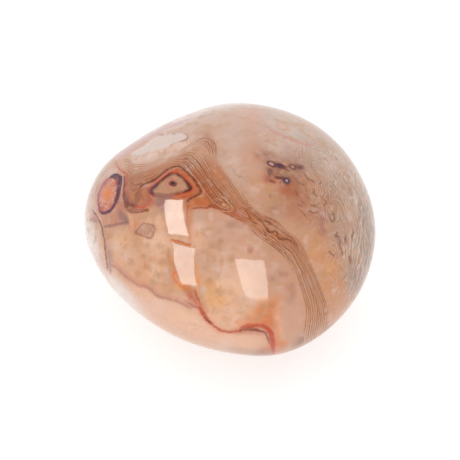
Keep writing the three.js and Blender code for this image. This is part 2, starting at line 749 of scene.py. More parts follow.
@dataclass(frozen=True)
class BandedRibbon:
    """The ribbon of fine bands that crosses the stone and goes right through it.

    Guides are lines along the ribbon from its outer to its inner edge, as pixels of the photograph, with
    bands_between bands from one to the next. Band is how far apart the bands are beyond them, in millimetres.
    Unrest_at and quiet_at are places where the bands wave or fade, as a pixel and a radius in millimetres.
    Drift is how far the ribbon moves right and down behind the stone's middle, for each millimetre squared.
    """

    guides: tuple[tuple[tuple[float, float], ...], ...]
    bands_between: float = 2.5
    band: float = 0.37
    unrest_at: tuple[tuple[float, float, float], ...] = ((129, 172, 2.6), (262, 226, 1.7), (226, 200, 1.2))
    quiet_at: tuple[tuple[float, float, float], ...] = (
        (218, 168, 1.1), (221, 176, 1.0), (214, 160, 0.9), (200, 151, 1.3), (157, 156, 1.4), (168, 151, 1.5),
    )
    drift: tuple[float, float] = (0.035, 0.02)
    far_unrest: float = 0.5

    STEPS = 4
    # Where the ribbon fades in: millimetres along it, and bands in from its outer edge and past its inner.
    END_FADE = (-0.8, 0.4)
    OUTER_FADE = (-0.9, 0.4)
    INNER_FADE = (-0.3, 0.6)
    # How far behind the stone's middle picked places still count, and where the far side's unrest sets in.
    PICKED_DEPTH = -2.0
    FAR_DEPTHS = (1.0, 8.0)

    def near_to(self, places: tuple[tuple[float, float, float], ...], seen: Seen) -> np.ndarray:
        """How near each vertex lies to picked places.

        Args:
            places: each one's pixel and its radius in millimetres.
            seen: the stone's vertices.

        Returns:
            1 in the middle of a place and 0 far from all, added up where they meet.
        """
        found = np.zeros(len(seen.depth))
        for x, y, radius in places:
            away = np.sum((seen.pixels - (x, y)) ** 2, 1) / (radius * EYE.pixels_per_mm) ** 2
            found += np.exp(-away) * (seen.depth > self.PICKED_DEPTH)
        return found

    def measure(self, seen: Seen) -> tuple[np.ndarray, np.ndarray]:
        """Which band each vertex lies on, how unruly the bands are there, and how much ribbon there is.

        Args:
            seen: the stone's vertices.

        Returns:
            The three values, one row for each vertex; and how far apart the bands are, in millimetres, with
            how strongly they show.
        """
        scale = EYE.pixels_per_mm
        sunk = np.clip(-seen.depth, 0, None) ** 2 * scale
        moved = seen.pixels - sunk[:, None] * np.array(self.drift)
        sides = [nearest_on(smooth_run(np.array(guide, float), self.STEPS), moved) for guide in self.guides]
        last = len(self.guides) - 1
        outside = sides[0][0] / scale / self.band
        inside = last * self.bands_between + sides[last][0] / scale / self.band
        count = np.where(sides[0][0] < 0, outside, inside)
        pitch = np.full(len(moved), self.band)
        for i in range(last):
            outer, inner = sides[i][0], sides[i + 1][0]
            between = (outer >= 0) & (inner < 0)
            share = outer / np.maximum(outer - inner, TINY)
            count[between] = (self.bands_between * (i + share))[between]
            pitch[between] = ((outer - inner) / scale / self.bands_between)[between]
        _, place, upto, beyond = sides[last // 2]
        along = upto - beyond * (place <= 0)
        there = eased(along / scale, *self.END_FADE) * eased(count, *self.OUTER_FADE)
        there = there * (1 - eased(count - last * self.bands_between, *self.INNER_FADE))
        unrest = self.near_to(self.unrest_at, seen) + self.far_unrest * eased(-seen.depth, *self.FAR_DEPTHS)
        loud = 1 - self.near_to(self.quiet_at, seen)
        return columns(count, np.clip(unrest, 0, 1), there), columns(pitch, np.clip(loud, 0, 1), 0)


RIBBON = BandedRibbon((
    (
        (127, 160), (135, 164.5), (146, 164.5), (160, 158.5), (178, 151.5), (192, 143.5), (204, 137.5),
        (213, 140), (216.5, 148), (216, 158), (221, 168), (230, 180.5), (240, 195), (251, 207), (262, 215),
        (275, 220), (285, 230.5), (298, 240.5), (306, 254), (322, 292), (327, 308), (326.5, 322), (324, 336),
    ),
    (
        (133, 169), (146, 168.5), (158, 163), (184, 151.5), (193, 146.5), (199, 145), (203.5, 148),
        (207, 153), (210, 159), (213, 166), (222, 180), (228, 188), (234, 196.5), (240, 204), (246, 208.5),
        (254, 213.5), (262, 218), (276, 226.6), (282, 231.7), (291, 238), (296.4, 243.5), (301, 250),
        (305, 261), (310, 272), (318, 294), (321.5, 304), (322.5, 315), (321, 327), (318.5, 339),
    ),
    (
        (130, 176), (139, 174.5), (150, 171.5), (160, 167), (170, 160.5), (180, 157), (186, 154.5),
        (190, 155), (195, 159.5), (199, 164), (203, 170), (214, 184), (221, 193.5), (227, 200), (232, 205),
        (241, 209), (256, 218), (263, 223), (267, 229), (275, 232), (281, 237), (289, 239.5), (296, 247),
        (302, 258), (307, 269), (311, 281), (315, 293), (317, 305), (317, 318), (315, 332), (312, 345),
    ),
    (
        (134, 184), (141, 180), (148, 178), (155, 174.5), (162, 169.5), (170, 164.5), (176, 162.5),
        (183.8, 165.2), (190.4, 173.4), (196.5, 180.5), (208.8, 197.9), (218, 206), (224, 209), (238, 215),
        (251, 222), (257, 226.5), (262, 229), (267, 236), (276, 242), (284, 249), (290, 254), (294, 261),
        (299, 271), (308, 297), (311.5, 309), (311.5, 321), (309.5, 334), (307, 346),
    ),
    (
        (136, 196), (140, 188), (145, 183.5), (152, 181.5), (158, 178), (165, 171.5), (171, 167.5),
        (176, 166), (181, 168), (187, 173), (193, 180), (199, 187), (202, 193), (204, 199), (209, 205.5),
        (216, 207), (225, 213.5), (236, 218), (247, 224), (254, 229), (260, 237), (270, 244.5), (281, 253),
        (289, 262.5), (296, 273), (300, 284), (303.5, 295), (306.5, 308), (306, 320), (302.5, 346),
    ),
))

LINES = (
    Line("milk_patch", 0.3, (Coat(Pigment.MILK, 0.9, 0.35, -3, 0),), (
        (130, 154), (136, 149.5), (144, 144.5), (152, 138.5), (160, 135), (170, 133), (180, 132.5),
        (186, 134.5), (187, 138), (181, 141), (173, 144), (164, 148.5), (151, 152.5), (137, 155.5),
    ), closed=True),
    Line("milk_end", 0.1, (Coat(Pigment.GREY_BROWN, 0.7, 0.16),), (
        (184, 133.4), (186.6, 135), (188, 137.8, 0.13), (185.8, 140, 0.13), (181, 141.2), (177.5, 142.2),
    )),
    Line("pink_rim", 0.35, (Coat(Pigment.MAUVE_PINK, 0.8, 0.35),), (
        (114, 162), (119, 157.6, 0.3), (126, 152), (134, 146), (152, 134.6), (170, 126), (188, 119.5, 0.2),
        (195, 117.5),
    )),
    Line("top_line", 0.16, (
        Coat(Pigment.COOL_TAUPE, 0.5, 0.12, -0.5, -0.15),
        Coat(Pigment.ROSE_LINE, 0.85, 0.16),
    ), (
        (264.5, 127.5), (266.5, 126.3, 0.12), (270, 129.3), (276, 132.7), (301.2, 143.2), (308.9, 144.5),
        (315, 143.8, 0.1), (318, 142.5),
    )),
    Line("hairline", 0.1, (Coat(Pigment.GREY_BROWN, 0.65, 0.16),), (
        (231.5, 166), (232.7, 169), (238.2, 176.2), (242.4, 177.2), (244.4, 179.6), (246, 182),
    )),
    Line("oval_ring", 0.16, (
        Coat(Pigment.DUSTY_PINK, 0.45, 0.35, 0.1, 0.45),
        Coat(Pigment.OVAL_CREAM, 0.95, 0.12, -3, -0.02),
        Coat(Pigment.DUSKY_CORAL, 1.0, 0.15, -3, 0, speckle=1),
        Coat(Pigment.CRIMSON, 0.6, 0.2, -0.42, -0.1),
        Coat(Pigment.MAGENTA, 0.95, 0.15),
    ), (
        (121, 178), (121.2, 182.5), (120.2, 189), (116.2, 201), (113.4, 206.7), (109.6, 210.8),
        (105.2, 213.2), (101.4, 213), (99.2, 209), (98.4, 196.7), (100, 190), (106.4, 180.8), (111.2, 176.9),
        (116.2, 175), (119.4, 175.6),
    ), closed=True),
    Line("oval_dusk", 0.34, (Coat(Pigment.DUSKY_CORAL, 0.6, 0.45),), (
        (100.6, 203), (101.2, 197, 0.25), (102.8, 190.5), (105.6, 184.6), (109.6, 180.6, 0.28), (113, 178.6),
    )),
    Line("oval_shade", 0.28, (Coat(Pigment.PURPLE, 0.92, 0.24),), (
        (108.5, 178.6), (112.4, 176.6, 0.32), (116, 177, 0.5), (119, 179, 0.6), (119.8, 183, 0.48),
        (118.8, 191.8, 0.36), (115.8, 201), (113.6, 206.3, 0.2), (110.4, 210.4, 0.2), (106.2, 212.4),
        (102.4, 212.9), (99.8, 210.5, 0.12), (98.6, 206),
    )),
    Line("rim_thread", 0.12, (Coat(Pigment.GREY_MAUVE, 0.55, 0.2),), (
        (112.9, 166.7), (106.2, 170), (100.7, 175.6), (96.2, 182.2), (93.4, 188.9), (92, 196.7),
        (91.4, 203.3),
    )),
    Line("pink_side", 0.3, (Coat(Pigment.DUSKY_CORAL, 0.4, 0.5),), (
        (97.5, 206), (96.6, 200), (97, 192, 0.35), (99.6, 185.6, 0.35), (104, 180), (109, 175.6),
    )),
    Line("inner_thread", 0.1, (Coat(Pigment.GREY_MAUVE, 0.45, 0.2),), (
        (110, 171.5), (104.4, 174), (99.8, 180), (96.8, 187), (95.3, 195), (95.3, 203),
    )),
    Line("cream_thread", 0.12, (Coat(Pigment.PEACH_CREAM, 0.8, 0.16),), (
        (121.5, 172.5), (123.2, 176), (123, 183), (120.4, 196), (119, 203),
    )),
    Line("red_streak", 0.12, (Coat(Pigment.CRIMSON, 0.85, 0.2, bleed=0.3),), (
        (115.8, 160), (117.3, 166), (120.7, 170), (127.4, 175.6, 0.16), (126.8, 183.5), (127.9, 196),
        (128.4, 200),
    )),
    Line("boundary", 0.12, (Coat(Pigment.UMBER, 0.88, 0.2, bleed=0.3),), (
        (125.4, 174.5), (125.1, 178), (124.2, 190), (125, 195.6, 0.3), (126, 199.5, 0.36), (126.6, 207, 0.24),
        (126.4, 210),
    )),
    Line("patch_foot", 0.3, (
        Coat(Pigment.WINE, 0.75, 0.25, speckle=0.4),
        Coat(Pigment.WINE, 0.6, 0.15, 0.1, 0.35),
    ), (
        (125.6, 208.6), (129, 210), (134, 211, 0.36), (140, 210.8), (145, 209.8, 0.2), (148, 209.8),
    )),
    Line("neck_blush", 0.2, (Coat(Pigment.MAROON, 0.5, 0.4),), (
        (121, 185), (121, 190.5), (120, 196.5, 0.32), (118.4, 202, 0.24), (116.8, 207),
    )),
    Line("neck_dark", 0.1, (
        Coat(Pigment.MAROON, 0.25, 0.35, -0.3, 0.3),
        Coat(Pigment.WINE, 0.85, 0.18),
    ), (
        (122.8, 173), (124, 177), (124.8, 182), (124.5, 187.5), (123.5, 196, 0.16), (126.4, 204, 0.2),
        (128, 207),
    )),
    Line("smudge", 0.3, (Coat(Pigment.PLUM, 0.75, 0.3, bleed=0.3),), (
        (127.5, 203), (130, 204.6), (133.5, 206, 0.34), (140, 207),
    )),
    Line("red_arc", 0.12, (Coat(Pigment.RED, 0.8, 0.2, bleed=0.4),), (
        (133.5, 204.5), (135.5, 206), (140.7, 207.6), (146.2, 206.2, 0.15), (149.6, 203), (151.4, 198.6),
        (151, 195),
    )),
    Line("mauve_haze", 0.5, (Coat(Pigment.MAUVE, 0.55, 0.7),), (
        (150.5, 196.5), (155, 199), (160, 200.5), (164.5, 200),
    )),
    Line("triangle", 0.2, (
        Coat(Pigment.WARM_TAN, 0.92, 0.12, -3, 0),
        Coat(Pigment.DUSTY_PINK, 0.3, 0.2, -3, -0.05, speckle=0.9),
        Coat(Pigment.CLAY_BROWN, 0.55, 0.2, -3, -0.05, speckle=-0.9),
        Coat(Pigment.BRICK, 0.85, 0.25, -0.1, 0.36),
        Coat(Pigment.SIENNA, 0.6, 0.3, -0.42, 0.05, speckle=0.3),
        Coat(Pigment.PURPLE_BROWN, 0.95, 0.2, bleed=0.3),
    ), (
        (150, 190.6), (152.5, 187.6), (167.5, 175.4), (175, 172.8), (179.4, 174.8), (183.8, 178.6),
        (190, 186.3, 0.28), (190.4, 189.4, 0.28), (186.3, 191.6, 0.15), (168.8, 195.4, 0.06),
        (155, 195.4, 0.08), (151.5, 193.5, 0.16),
    ), closed=True),
    Line("triangle_floor", 0.44, (Coat(Pigment.DIM_MAUVE, 0.9, 0.45),), (
        (152, 194.6), (158, 196), (165, 197, 0.5), (172, 196, 0.36), (177, 194.8),
    )),
    Line("triangle_corner", 0.22, (Coat(Pigment.SLATE, 0.85, 0.24, bleed=0.25),), (
        (160, 181.8), (156, 185.4), (152.4, 188.6, 0.32), (150.8, 190.9, 0.34), (152.4, 192.4),
        (155.4, 192.6),
    )),
    Line("triangle_right", 0.18, (Coat(Pigment.PURPLE_BROWN, 0.9, 0.2),), (
        (184, 179), (187.8, 182.9), (190, 186.5, 0.24), (190.2, 189.6, 0.26), (186.5, 191.4), (181, 193),
    )),
    Line("coral_band", 0.24, (Coat(Pigment.CORAL, 0.8, 0.22, speckle=0.5),), (
        (152, 195.8), (149.6, 193.6, 0.09), (148.6, 190.8, 0.12), (150.4, 187, 0.18), (154, 183.6),
        (165.5, 173.6), (170, 170.8), (176, 169.6, 0.12), (179, 170.4),
    )),
    Line("orange_band", 0.48, (
        Coat(Pigment.BAND_ORANGE, 0.85, 0.22, speckle=0.4),
        Coat(Pigment.EMBER_ORANGE, 0.7, 0.3, -0.1, 0.5, speckle=0.8),
        Coat(Pigment.BRICK, 0.55, 0.25, 0.2, 0.55, speckle=0.5),
    ), (
        (170, 171.2), (176, 169.8, 0.22), (181, 171.6, 0.32), (190.5, 179.8), (194.3, 184.5), (195.6, 189.5),
        (192.5, 193.6, 0.42), (186.5, 195.4, 0.36), (174.5, 198.2, 0.24), (170.5, 198.8),
    )),
    Line("corner_glow", 0.2, (Coat(Pigment.ORANGE, 0.6, 0.28),), (
        (199, 181), (201.8, 186), (203.4, 191, 0.28), (202, 196), (197, 198.6),
    )),
    Line("second_contour", 0.16, (Coat(Pigment.BARK, 0.92, 0.17, bleed=0.2),), (
        (137.5, 189.5), (142.5, 185.2), (153.8, 180.2), (165, 171.5), (170, 168.2), (176.2, 166.4),
        (181.2, 167.6), (190, 175), (197.5, 184.5), (200, 188.9, 0.19), (200.2, 192.8, 0.24), (196.3, 195.7),
        (191.3, 198.2), (187.5, 201.4), (185.5, 205),
    )),
    Line("third_contour", 0.1, (Coat(Pigment.SIENNA, 0.6, 0.15),), (
        (178, 162.8), (186, 165.5), (191, 170.5), (201, 183.5), (205, 190), (207.5, 195),
    )),
    Line("arch_ground", 0.2, (
        Coat(Pigment.OCHRE_ORANGE, 0.5, 0.3, -3, -0.05),
        Coat(Pigment.TANGERINE, 0.3, 0.3, -3, -0.05, speckle=0.9),
    ), (
        (187, 203), (191, 200), (198, 197), (206, 198), (212, 203), (211, 206.5), (202, 207), (193, 208),
        (188.5, 210), (186.5, 207),
    ), closed=True),
    Line("ochre_wash", 0.5, (Coat(Pigment.BAND_ORANGE, 0.45, 0.6, speckle=0.3),), (
        (190, 199.6), (196, 200.6), (202, 204.6, 0.6), (208, 206.4, 0.3), (216, 207.4, 0.3),
        (224, 210.4, 0.4), (236, 214.4), (247, 219),
    )),
    Line("lobe_arch", 0.12, (Coat(Pigment.AMBER_BROWN, 0.75, 0.17),), (
        (187.7, 222), (187.2, 214), (188, 206.5), (190.8, 201.6), (196.3, 198.8), (202.5, 198.2),
        (207.5, 200.2), (211, 203.4), (213.5, 205.5),
    )),
    Line("lobe_edge", 0.1, (
        Coat(Pigment.CORAL_GLOW, 0.4, 0.4, 0.1, 0.45),
        Coat(Pigment.CHESTNUT, 0.8, 0.2),
    ), (
        (190, 212), (191.2, 209.3), (195, 208.3, 0.16), (200, 207.7, 0.16), (206.3, 207.6, 0.19),
        (210.8, 205.8, 0.28), (215.8, 206.6, 0.28), (220.8, 209.8, 0.16), (233.8, 217.2), (240, 220),
        (246, 222.5),
    )),
    Line("side_ochre", 0.15, (Coat(Pigment.ORANGE, 0.65, 0.25),), (
        (189.8, 209), (190, 214), (189.2, 222), (189.4, 232), (190.5, 240), (192, 246),
    )),
    Line("side_glow", 0.36, (Coat(Pigment.OCHRE_SAND, 0.6, 0.5),), (
        (167.4, 244), (168.6, 253), (171, 262, 0.45), (174, 270, 0.4), (177.6, 277, 0.25), (180, 283),
    )),
    Line("lobe_side", 0.1, (
        Coat(Pigment.SUNLIT, 0.6, 0.45),
        Coat(Pigment.TANGERINE, 0.3, 0.25, -0.3, 0),
    ), (
        (192.6, 259), (196.4, 270, 0.26), (197.6, 277, 0.34), (198.6, 284, 0.3), (198.9, 291, 0.14),
        (198.4, 296),
    )),
    Line("gap_line", 0.24, (
        Coat(Pigment.ORANGE, 0.6, 0.3, -0.1, 0.45),
        Coat(Pigment.AMBER_RUST, 0.7, 0.32),
        Coat(Pigment.CHESTNUT, 0.4, 0.2, -0.2, 0.02),
    ), (
        (169, 238.5), (172.6, 239.8, 0.14), (183, 243), (188.5, 244.4), (192.5, 245.4),
    )),
    Line("ember_loop", 0.18, (
        Coat(Pigment.SUNLIT, 0.5, 0.35, -0.5, 0),
        Coat(Pigment.EMBER, 0.75, 0.32, bleed=0.3),
    ), (
        (179, 272.6), (176.4, 271.6, 0.12), (173.8, 273.6), (173.6, 277.6), (179, 284.6), (187, 289, 0.14),
        (190, 290),
    )),
    Line("ochre_run", 0.4, (Coat(Pigment.OCHRE_SAND, 0.6, 0.5),), (
        (179.5, 285.5), (184, 287.6), (189.5, 288.8, 0.45), (194, 290), (197.5, 292.5),
    )),
    Line("rose_patch", 0.6, (Coat(Pigment.ROSE_RED, 0.55, 0.7),), (
        (186, 295), (190, 297.6), (194.5, 300.5), (198.5, 304.5),
    )),
    Line("vein_upper", 0.4, (
        Coat(Pigment.OCHRE_ROSE, 0.45, 0.6, -1, 0.8),
        Coat(Pigment.REDDISH, 0.5, 0.5, speckle=0.5),
        Coat(Pigment.CORAL_DARK, 0.5, 0.35, 0.1, 0.5),
    ), (
        (187, 291), (190.6, 294), (194.6, 298, 0.5), (200.6, 306.4), (203.6, 311.4, 0.3), (206, 315.6),
    )),
    Line("vein_run", 0.18, (Coat(Pigment.DEEP_OCHRE, 0.8, 0.3),), (
        (195.4, 286.4), (195.2, 291), (199.6, 303), (202, 309),
    )),
    Line("vein_branch", 0.24, (Coat(Pigment.MAROON, 0.7, 0.36),), (
        (183, 298.6), (187, 301.6, 0.16), (191.4, 304.4), (196, 306.6), (200, 309.4), (203, 313),
    )),
    Line("vein_glow", 0.5, (Coat(Pigment.CORAL_GLOW, 0.6, 0.65),), (
        (196, 298), (199.5, 307), (206.5, 318.7), (215.5, 327.2), (221, 330.8, 0.45), (233, 331.9, 0.35),
        (244, 328.2, 0.3), (250, 327.6),
    )),
    Line("vein", 0.2, (Coat(Pigment.VEIN_RED, 0.88, 0.3),), (
        (198.5, 305), (200.5, 309, 0.26), (206.4, 318.4, 0.34), (215, 326.4), (220, 330), (226.4, 331.9),
        (237.5, 331.2), (243, 329.2, 0.24), (250, 328.8, 0.26), (262, 331.2, 0.12), (265, 331.8),
    )),
    Line("vein_core", 0.07, (Coat(Pigment.PLUM, 0.75, 0.18),), (
        (203, 315), (208.4, 320.8, 0.14), (214, 325.6), (221, 330.4),
    )),
    Line("vein_dark", 0.16, (Coat(Pigment.PLUM, 0.85, 0.25),), (
        (237, 331.6), (241, 330), (249, 328.6, 0.3), (253, 329, 0.3), (260.6, 331), (263.6, 331.4),
        (266, 333.8), (268.6, 341.5), (269, 345),
    )),
    Line("red_glow", 0.34, (
        Coat(Pigment.CORAL_GLOW, 0.4, 0.35, -0.7, 0),
        Coat(Pigment.FIELD, 0.5, 0.5, -1.5, -0.5),
        Coat(Pigment.OCHRE_ROSE, 0.5, 0.4, 0.1, 0.7),
        Coat(Pigment.BRICK, 0.9, 0.36),
    ), (
        (238, 329.4), (243, 326.8, 0.22), (248, 325.8, 0.3), (260, 325.6), (266, 327.4), (270, 331.5, 0.4),
        (271.8, 337, 0.42), (273.4, 349), (274, 358),
    )),
    Line("side_twig", 0.12, (Coat(Pigment.ORANGE, 0.7, 0.2),), (
        (275.5, 343.8), (279, 343), (284, 343.4), (288, 342.8),
    )),
    Line("chamber_edge", 0.2, (
        Coat(Pigment.DUSKY_CORAL, 0.35, 0.5, -0.8, 0.4),
        Coat(Pigment.DUSKY_ROSE, 0.85, 0.4),
    ), (
        (108, 262), (113, 265.5), (118.5, 269.4), (125, 275.6, 0.24), (137.5, 284.6), (145, 286.4, 0.24),
        (150, 289.2, 0.3), (154.6, 293.6, 0.28), (160.5, 296.8, 0.26), (175, 300.6), (188, 306.5), (194, 308),
    )),
    Line("chamber_thread", 0.12, (Coat(Pigment.ORANGE, 0.45, 0.22),), (
        (127, 278), (130, 276.1), (134.4, 273), (140.8, 272.3), (144.6, 269.8), (145.3, 262.8), (144, 258),
    )),
    # The pale coat beside the crack is a painted highlight along it; the umber coat is the crack's own line.
    Line("crack", 0.14, (
        Coat(Pigment.PALE_BLUSH, 0.7, 0.14, -0.35, -0.12),
        Coat(Pigment.UMBER, 0.75, 0.15),
    ), (
        (91.5, 208.5), (94, 211.8), (99.7, 221.3), (103, 232), (106.6, 260), (107.2, 267), (107.5, 273),
    )),
    Line("crack_shade", 0.12, (Coat(Pigment.MAUVE, 0.8, 0.2),), (
        (101, 218.5), (103.2, 224), (104.6, 230.5), (107.4, 251), (108.8, 258, 0.2), (110.4, 271, 0.22),
        (110.5, 276),
    )),
    Line("smoke", 0.4, (Coat(Pigment.SMOKE, 0.7, 0.5),), (
        (119.5, 208), (120.6, 213), (123, 217, 0.55), (127, 220.6), (129.5, 225),
    )),
    Line("grey_line", 0.26, (Coat(Pigment.SMOKE, 0.75, 0.32),), (
        (103, 226.4), (106, 226.4), (110.7, 226), (122.9, 223), (127, 222.6, 0.2), (129, 220),
    )),
    Line("salmon_strip", 0.3, (Coat(Pigment.PEACH_GLOW, 0.7, 0.4),), (
        (126, 211.5), (129.5, 215.5), (131.6, 221, 0.35), (131.8, 227), (130, 233),
    )),
    Line("diamond", 0.15, (
        Coat(Pigment.ASH_BROWN, 0.2, 0.3, -2, -0.05),
        Coat(Pigment.CORAL_GLOW, 0.3, 0.25, 0.08, 0.4),
        Coat(Pigment.DIM_MAUVE, 0.35, 0.3, -2, -0.15, speckle=0.9),
        Coat(Pigment.DIM_MAUVE, 0.85, 0.24),
    ), (
        (135.2, 232.8, 0.2), (138.2, 228.6), (142.4, 224), (146, 223.6), (150.4, 224.8), (154.6, 226.4),
        (153.8, 231), (152.6, 236), (149.4, 238), (140, 234.6),
    ), closed=True),
    Line("neck_stroke", 0.1, (Coat(Pigment.SIENNA_DARK, 0.85, 0.16),), (
        (251, 213.5), (256, 218), (261, 220.5), (264, 223.5), (268, 231, 0.16), (272, 232.2, 0.16),
        (275.6, 230.8), (277.2, 232.8, 0.18), (277, 235.6), (279, 238.6, 0.16), (284, 239.3, 0.2),
        (289, 239.6), (294, 242.5), (298, 248.5),
    )),
    Line("neck_wave", 0.09, (Coat(Pigment.SIENNA_DARK, 0.8, 0.15),), (
        (246, 211.5), (248.5, 214.8), (253, 222), (257, 223.5), (259.5, 225.2),
    )),
    Line("island", 0.1, (Coat(Pigment.SALMON, 0.85, 0.15, -1, 0), Coat(Pigment.CHESTNUT, 0.6, 0.16)), (
        (221.4, 202), (224.4, 202.6), (227, 205.4), (225, 206.8), (221.8, 206), (220.4, 204),
    ), closed=True),
    Line("island_hook", 0.12, (
        Coat(Pigment.SAND, 0.7, 0.1, -0.28, -0.12),
        Coat(Pigment.SIENNA, 0.8, 0.16),
    ), (
        (219, 196.4), (223.4, 200), (228, 203.6), (230.4, 207.6), (228, 210.4), (223.4, 209.4),
        (219.5, 207.4),
    )),
    Line("outer_hook", 0.12, (Coat(Pigment.SIENNA, 0.7, 0.16),), (
        (224, 196), (229, 200.6), (233.6, 205.6), (235.8, 211), (232, 213.4), (227, 212.4),
    )),
    Line("neck_outer", 0.08, (Coat(Pigment.SIENNA_DARK, 0.8, 0.15),), (
        (247, 207), (250, 211), (256, 216.5), (262, 219), (269, 222.6, 0.24), (273, 225.6), (276, 226.6),
        (283, 232.5), (290, 237), (296, 243), (298.5, 249),
    )),
    Line("neck_knot", 0.16, (Coat(Pigment.SIENNA_DARK, 0.75, 0.18),), (
        (262, 225), (262.5, 229, 0.07), (264, 232), (266, 235.4), (267.5, 237),
    )),
    Line("neck_low", 0.09, (Coat(Pigment.SIENNA_DARK, 0.75, 0.16),), (
        (258, 232.6), (265, 238.8), (270, 241), (280, 249.4), (285, 253), (288.4, 258), (290.5, 262),
    )),
    Line("neck_inner", 0.08, (Coat(Pigment.SIENNA_DARK, 0.75, 0.16),), (
        (270, 234), (272.6, 237.6), (280, 245.4), (285, 247.6), (289.5, 251), (293, 257),
    )),
    Line("neck_smudge", 0.1, (Coat(Pigment.SIENNA_DARK, 0.7, 0.25),), (
        (242.5, 206), (246.2, 211, 0.18), (247.4, 208.4), (250, 207.6), (252.4, 209),
    )),
    Line("eye_tail", 0.2, (Coat(Pigment.UMBER, 0.8, 0.35),), (
        (283, 167.6), (286, 169.6), (289, 171), (292, 171.6),
    )),
    Line("eye_stem", 0.14, (Coat(Pigment.UMBER, 0.7, 0.35),), (
        (267.4, 169), (268, 172), (269.4, 175, 0.18), (270.6, 178.6),
    )),
    Line("orange_lip", 0.18, (Coat(Pigment.TANGERINE, 0.5, 0.45),), (
        (241, 327), (245, 325, 0.14), (256, 322.8), (262, 323),
    )),
    Line("mauve_run", 0.3, (Coat(Pigment.ROSE_GREY, 0.5, 0.5),), (
        (320.5, 212), (321.5, 216, 0.35), (322.6, 221), (321.8, 226), (322.4, 231, 0.42), (322, 236),
    )),
    Line("far_vein", 0.2, (
        Coat(Pigment.CORAL_GLOW, 0.4, 0.5, 0.1, 1.2),
        Coat(Pigment.BRICK, 0.8, 0.3, bleed=0.4),
    ), (
        (104, 268), (128, 262, 0.15), (150, 270), (176, 268, 0.25), (200, 280, 0.25), (228, 284), (252, 276),
        (280, 284, 0.15), (306, 280),
    ), side=Side.FAR),
    Line("far_milk", 0.1, (
        Coat(Pigment.MILK, 0.65, 0.6, -3, 0, speckle=0.5),
        Coat(Pigment.DUSKY_CORAL, 0.4, 0.35),
    ), (
        (168, 118), (186, 112), (202, 114), (204, 121), (190, 127), (174, 128),
    ), closed=True, side=Side.FAR),
)

GROUNDS = (
    Line("patch_top", 0.2, (Coat(Pigment.CLAY_RED, 0.75, 0.5, -3, -0.05, speckle=0.5),), (
        (128, 174), (134, 172.5), (141, 175), (146, 179), (146, 183), (141, 186), (135, 187.5), (129, 187),
        (127.5, 180),
    ), closed=True),
    Line("patch_ground", 0.2, (
        Coat(Pigment.RUSSET, 0.6, 0.4, -3, -0.1),
        Coat(Pigment.CLAY_BROWN, 0.5, 0.4, -3, -0.1, speckle=0.9),
    ), (
        (129, 181), (137, 186), (146, 184.5), (150, 188), (151.6, 196), (151, 201), (147, 206.5),
        (139, 208.5), (131, 208.5), (128, 200), (127.4, 190),
    ), closed=True),
    Line("patch_core", 0.45, (Coat(Pigment.UMBER_OCHRE, 0.6, 0.4),), (
        (136.6, 190), (138.4, 193.6), (138, 198), (136.6, 202, 0.3), (135.6, 205),
    )),
    Line("patch_glow", 0.36, (Coat(Pigment.OCHRE_SAND, 0.5, 0.4),), (
        (131, 190.5), (132.4, 194), (132.8, 198, 0.3), (133, 203),
    )),
    Line("patch_gold", 0.36, (Coat(Pigment.OCHRE_SAND, 0.45, 0.4),), (
        (143.4, 187.6), (144.2, 192), (144, 197), (142, 201, 0.4), (140.6, 205),
    )),
    Line("far_ground", 1.6, (Coat(Pigment.OCHRE, 0.5, 0.6, speckle=0.6),), (
        (90, 230), (122, 210, 1.2), (153, 197, 1.5), (187, 187), (220, 184), (254, 190), (288, 205),
        (321, 228, 1.4), (354, 252),
    ), side=Side.FAR),
)

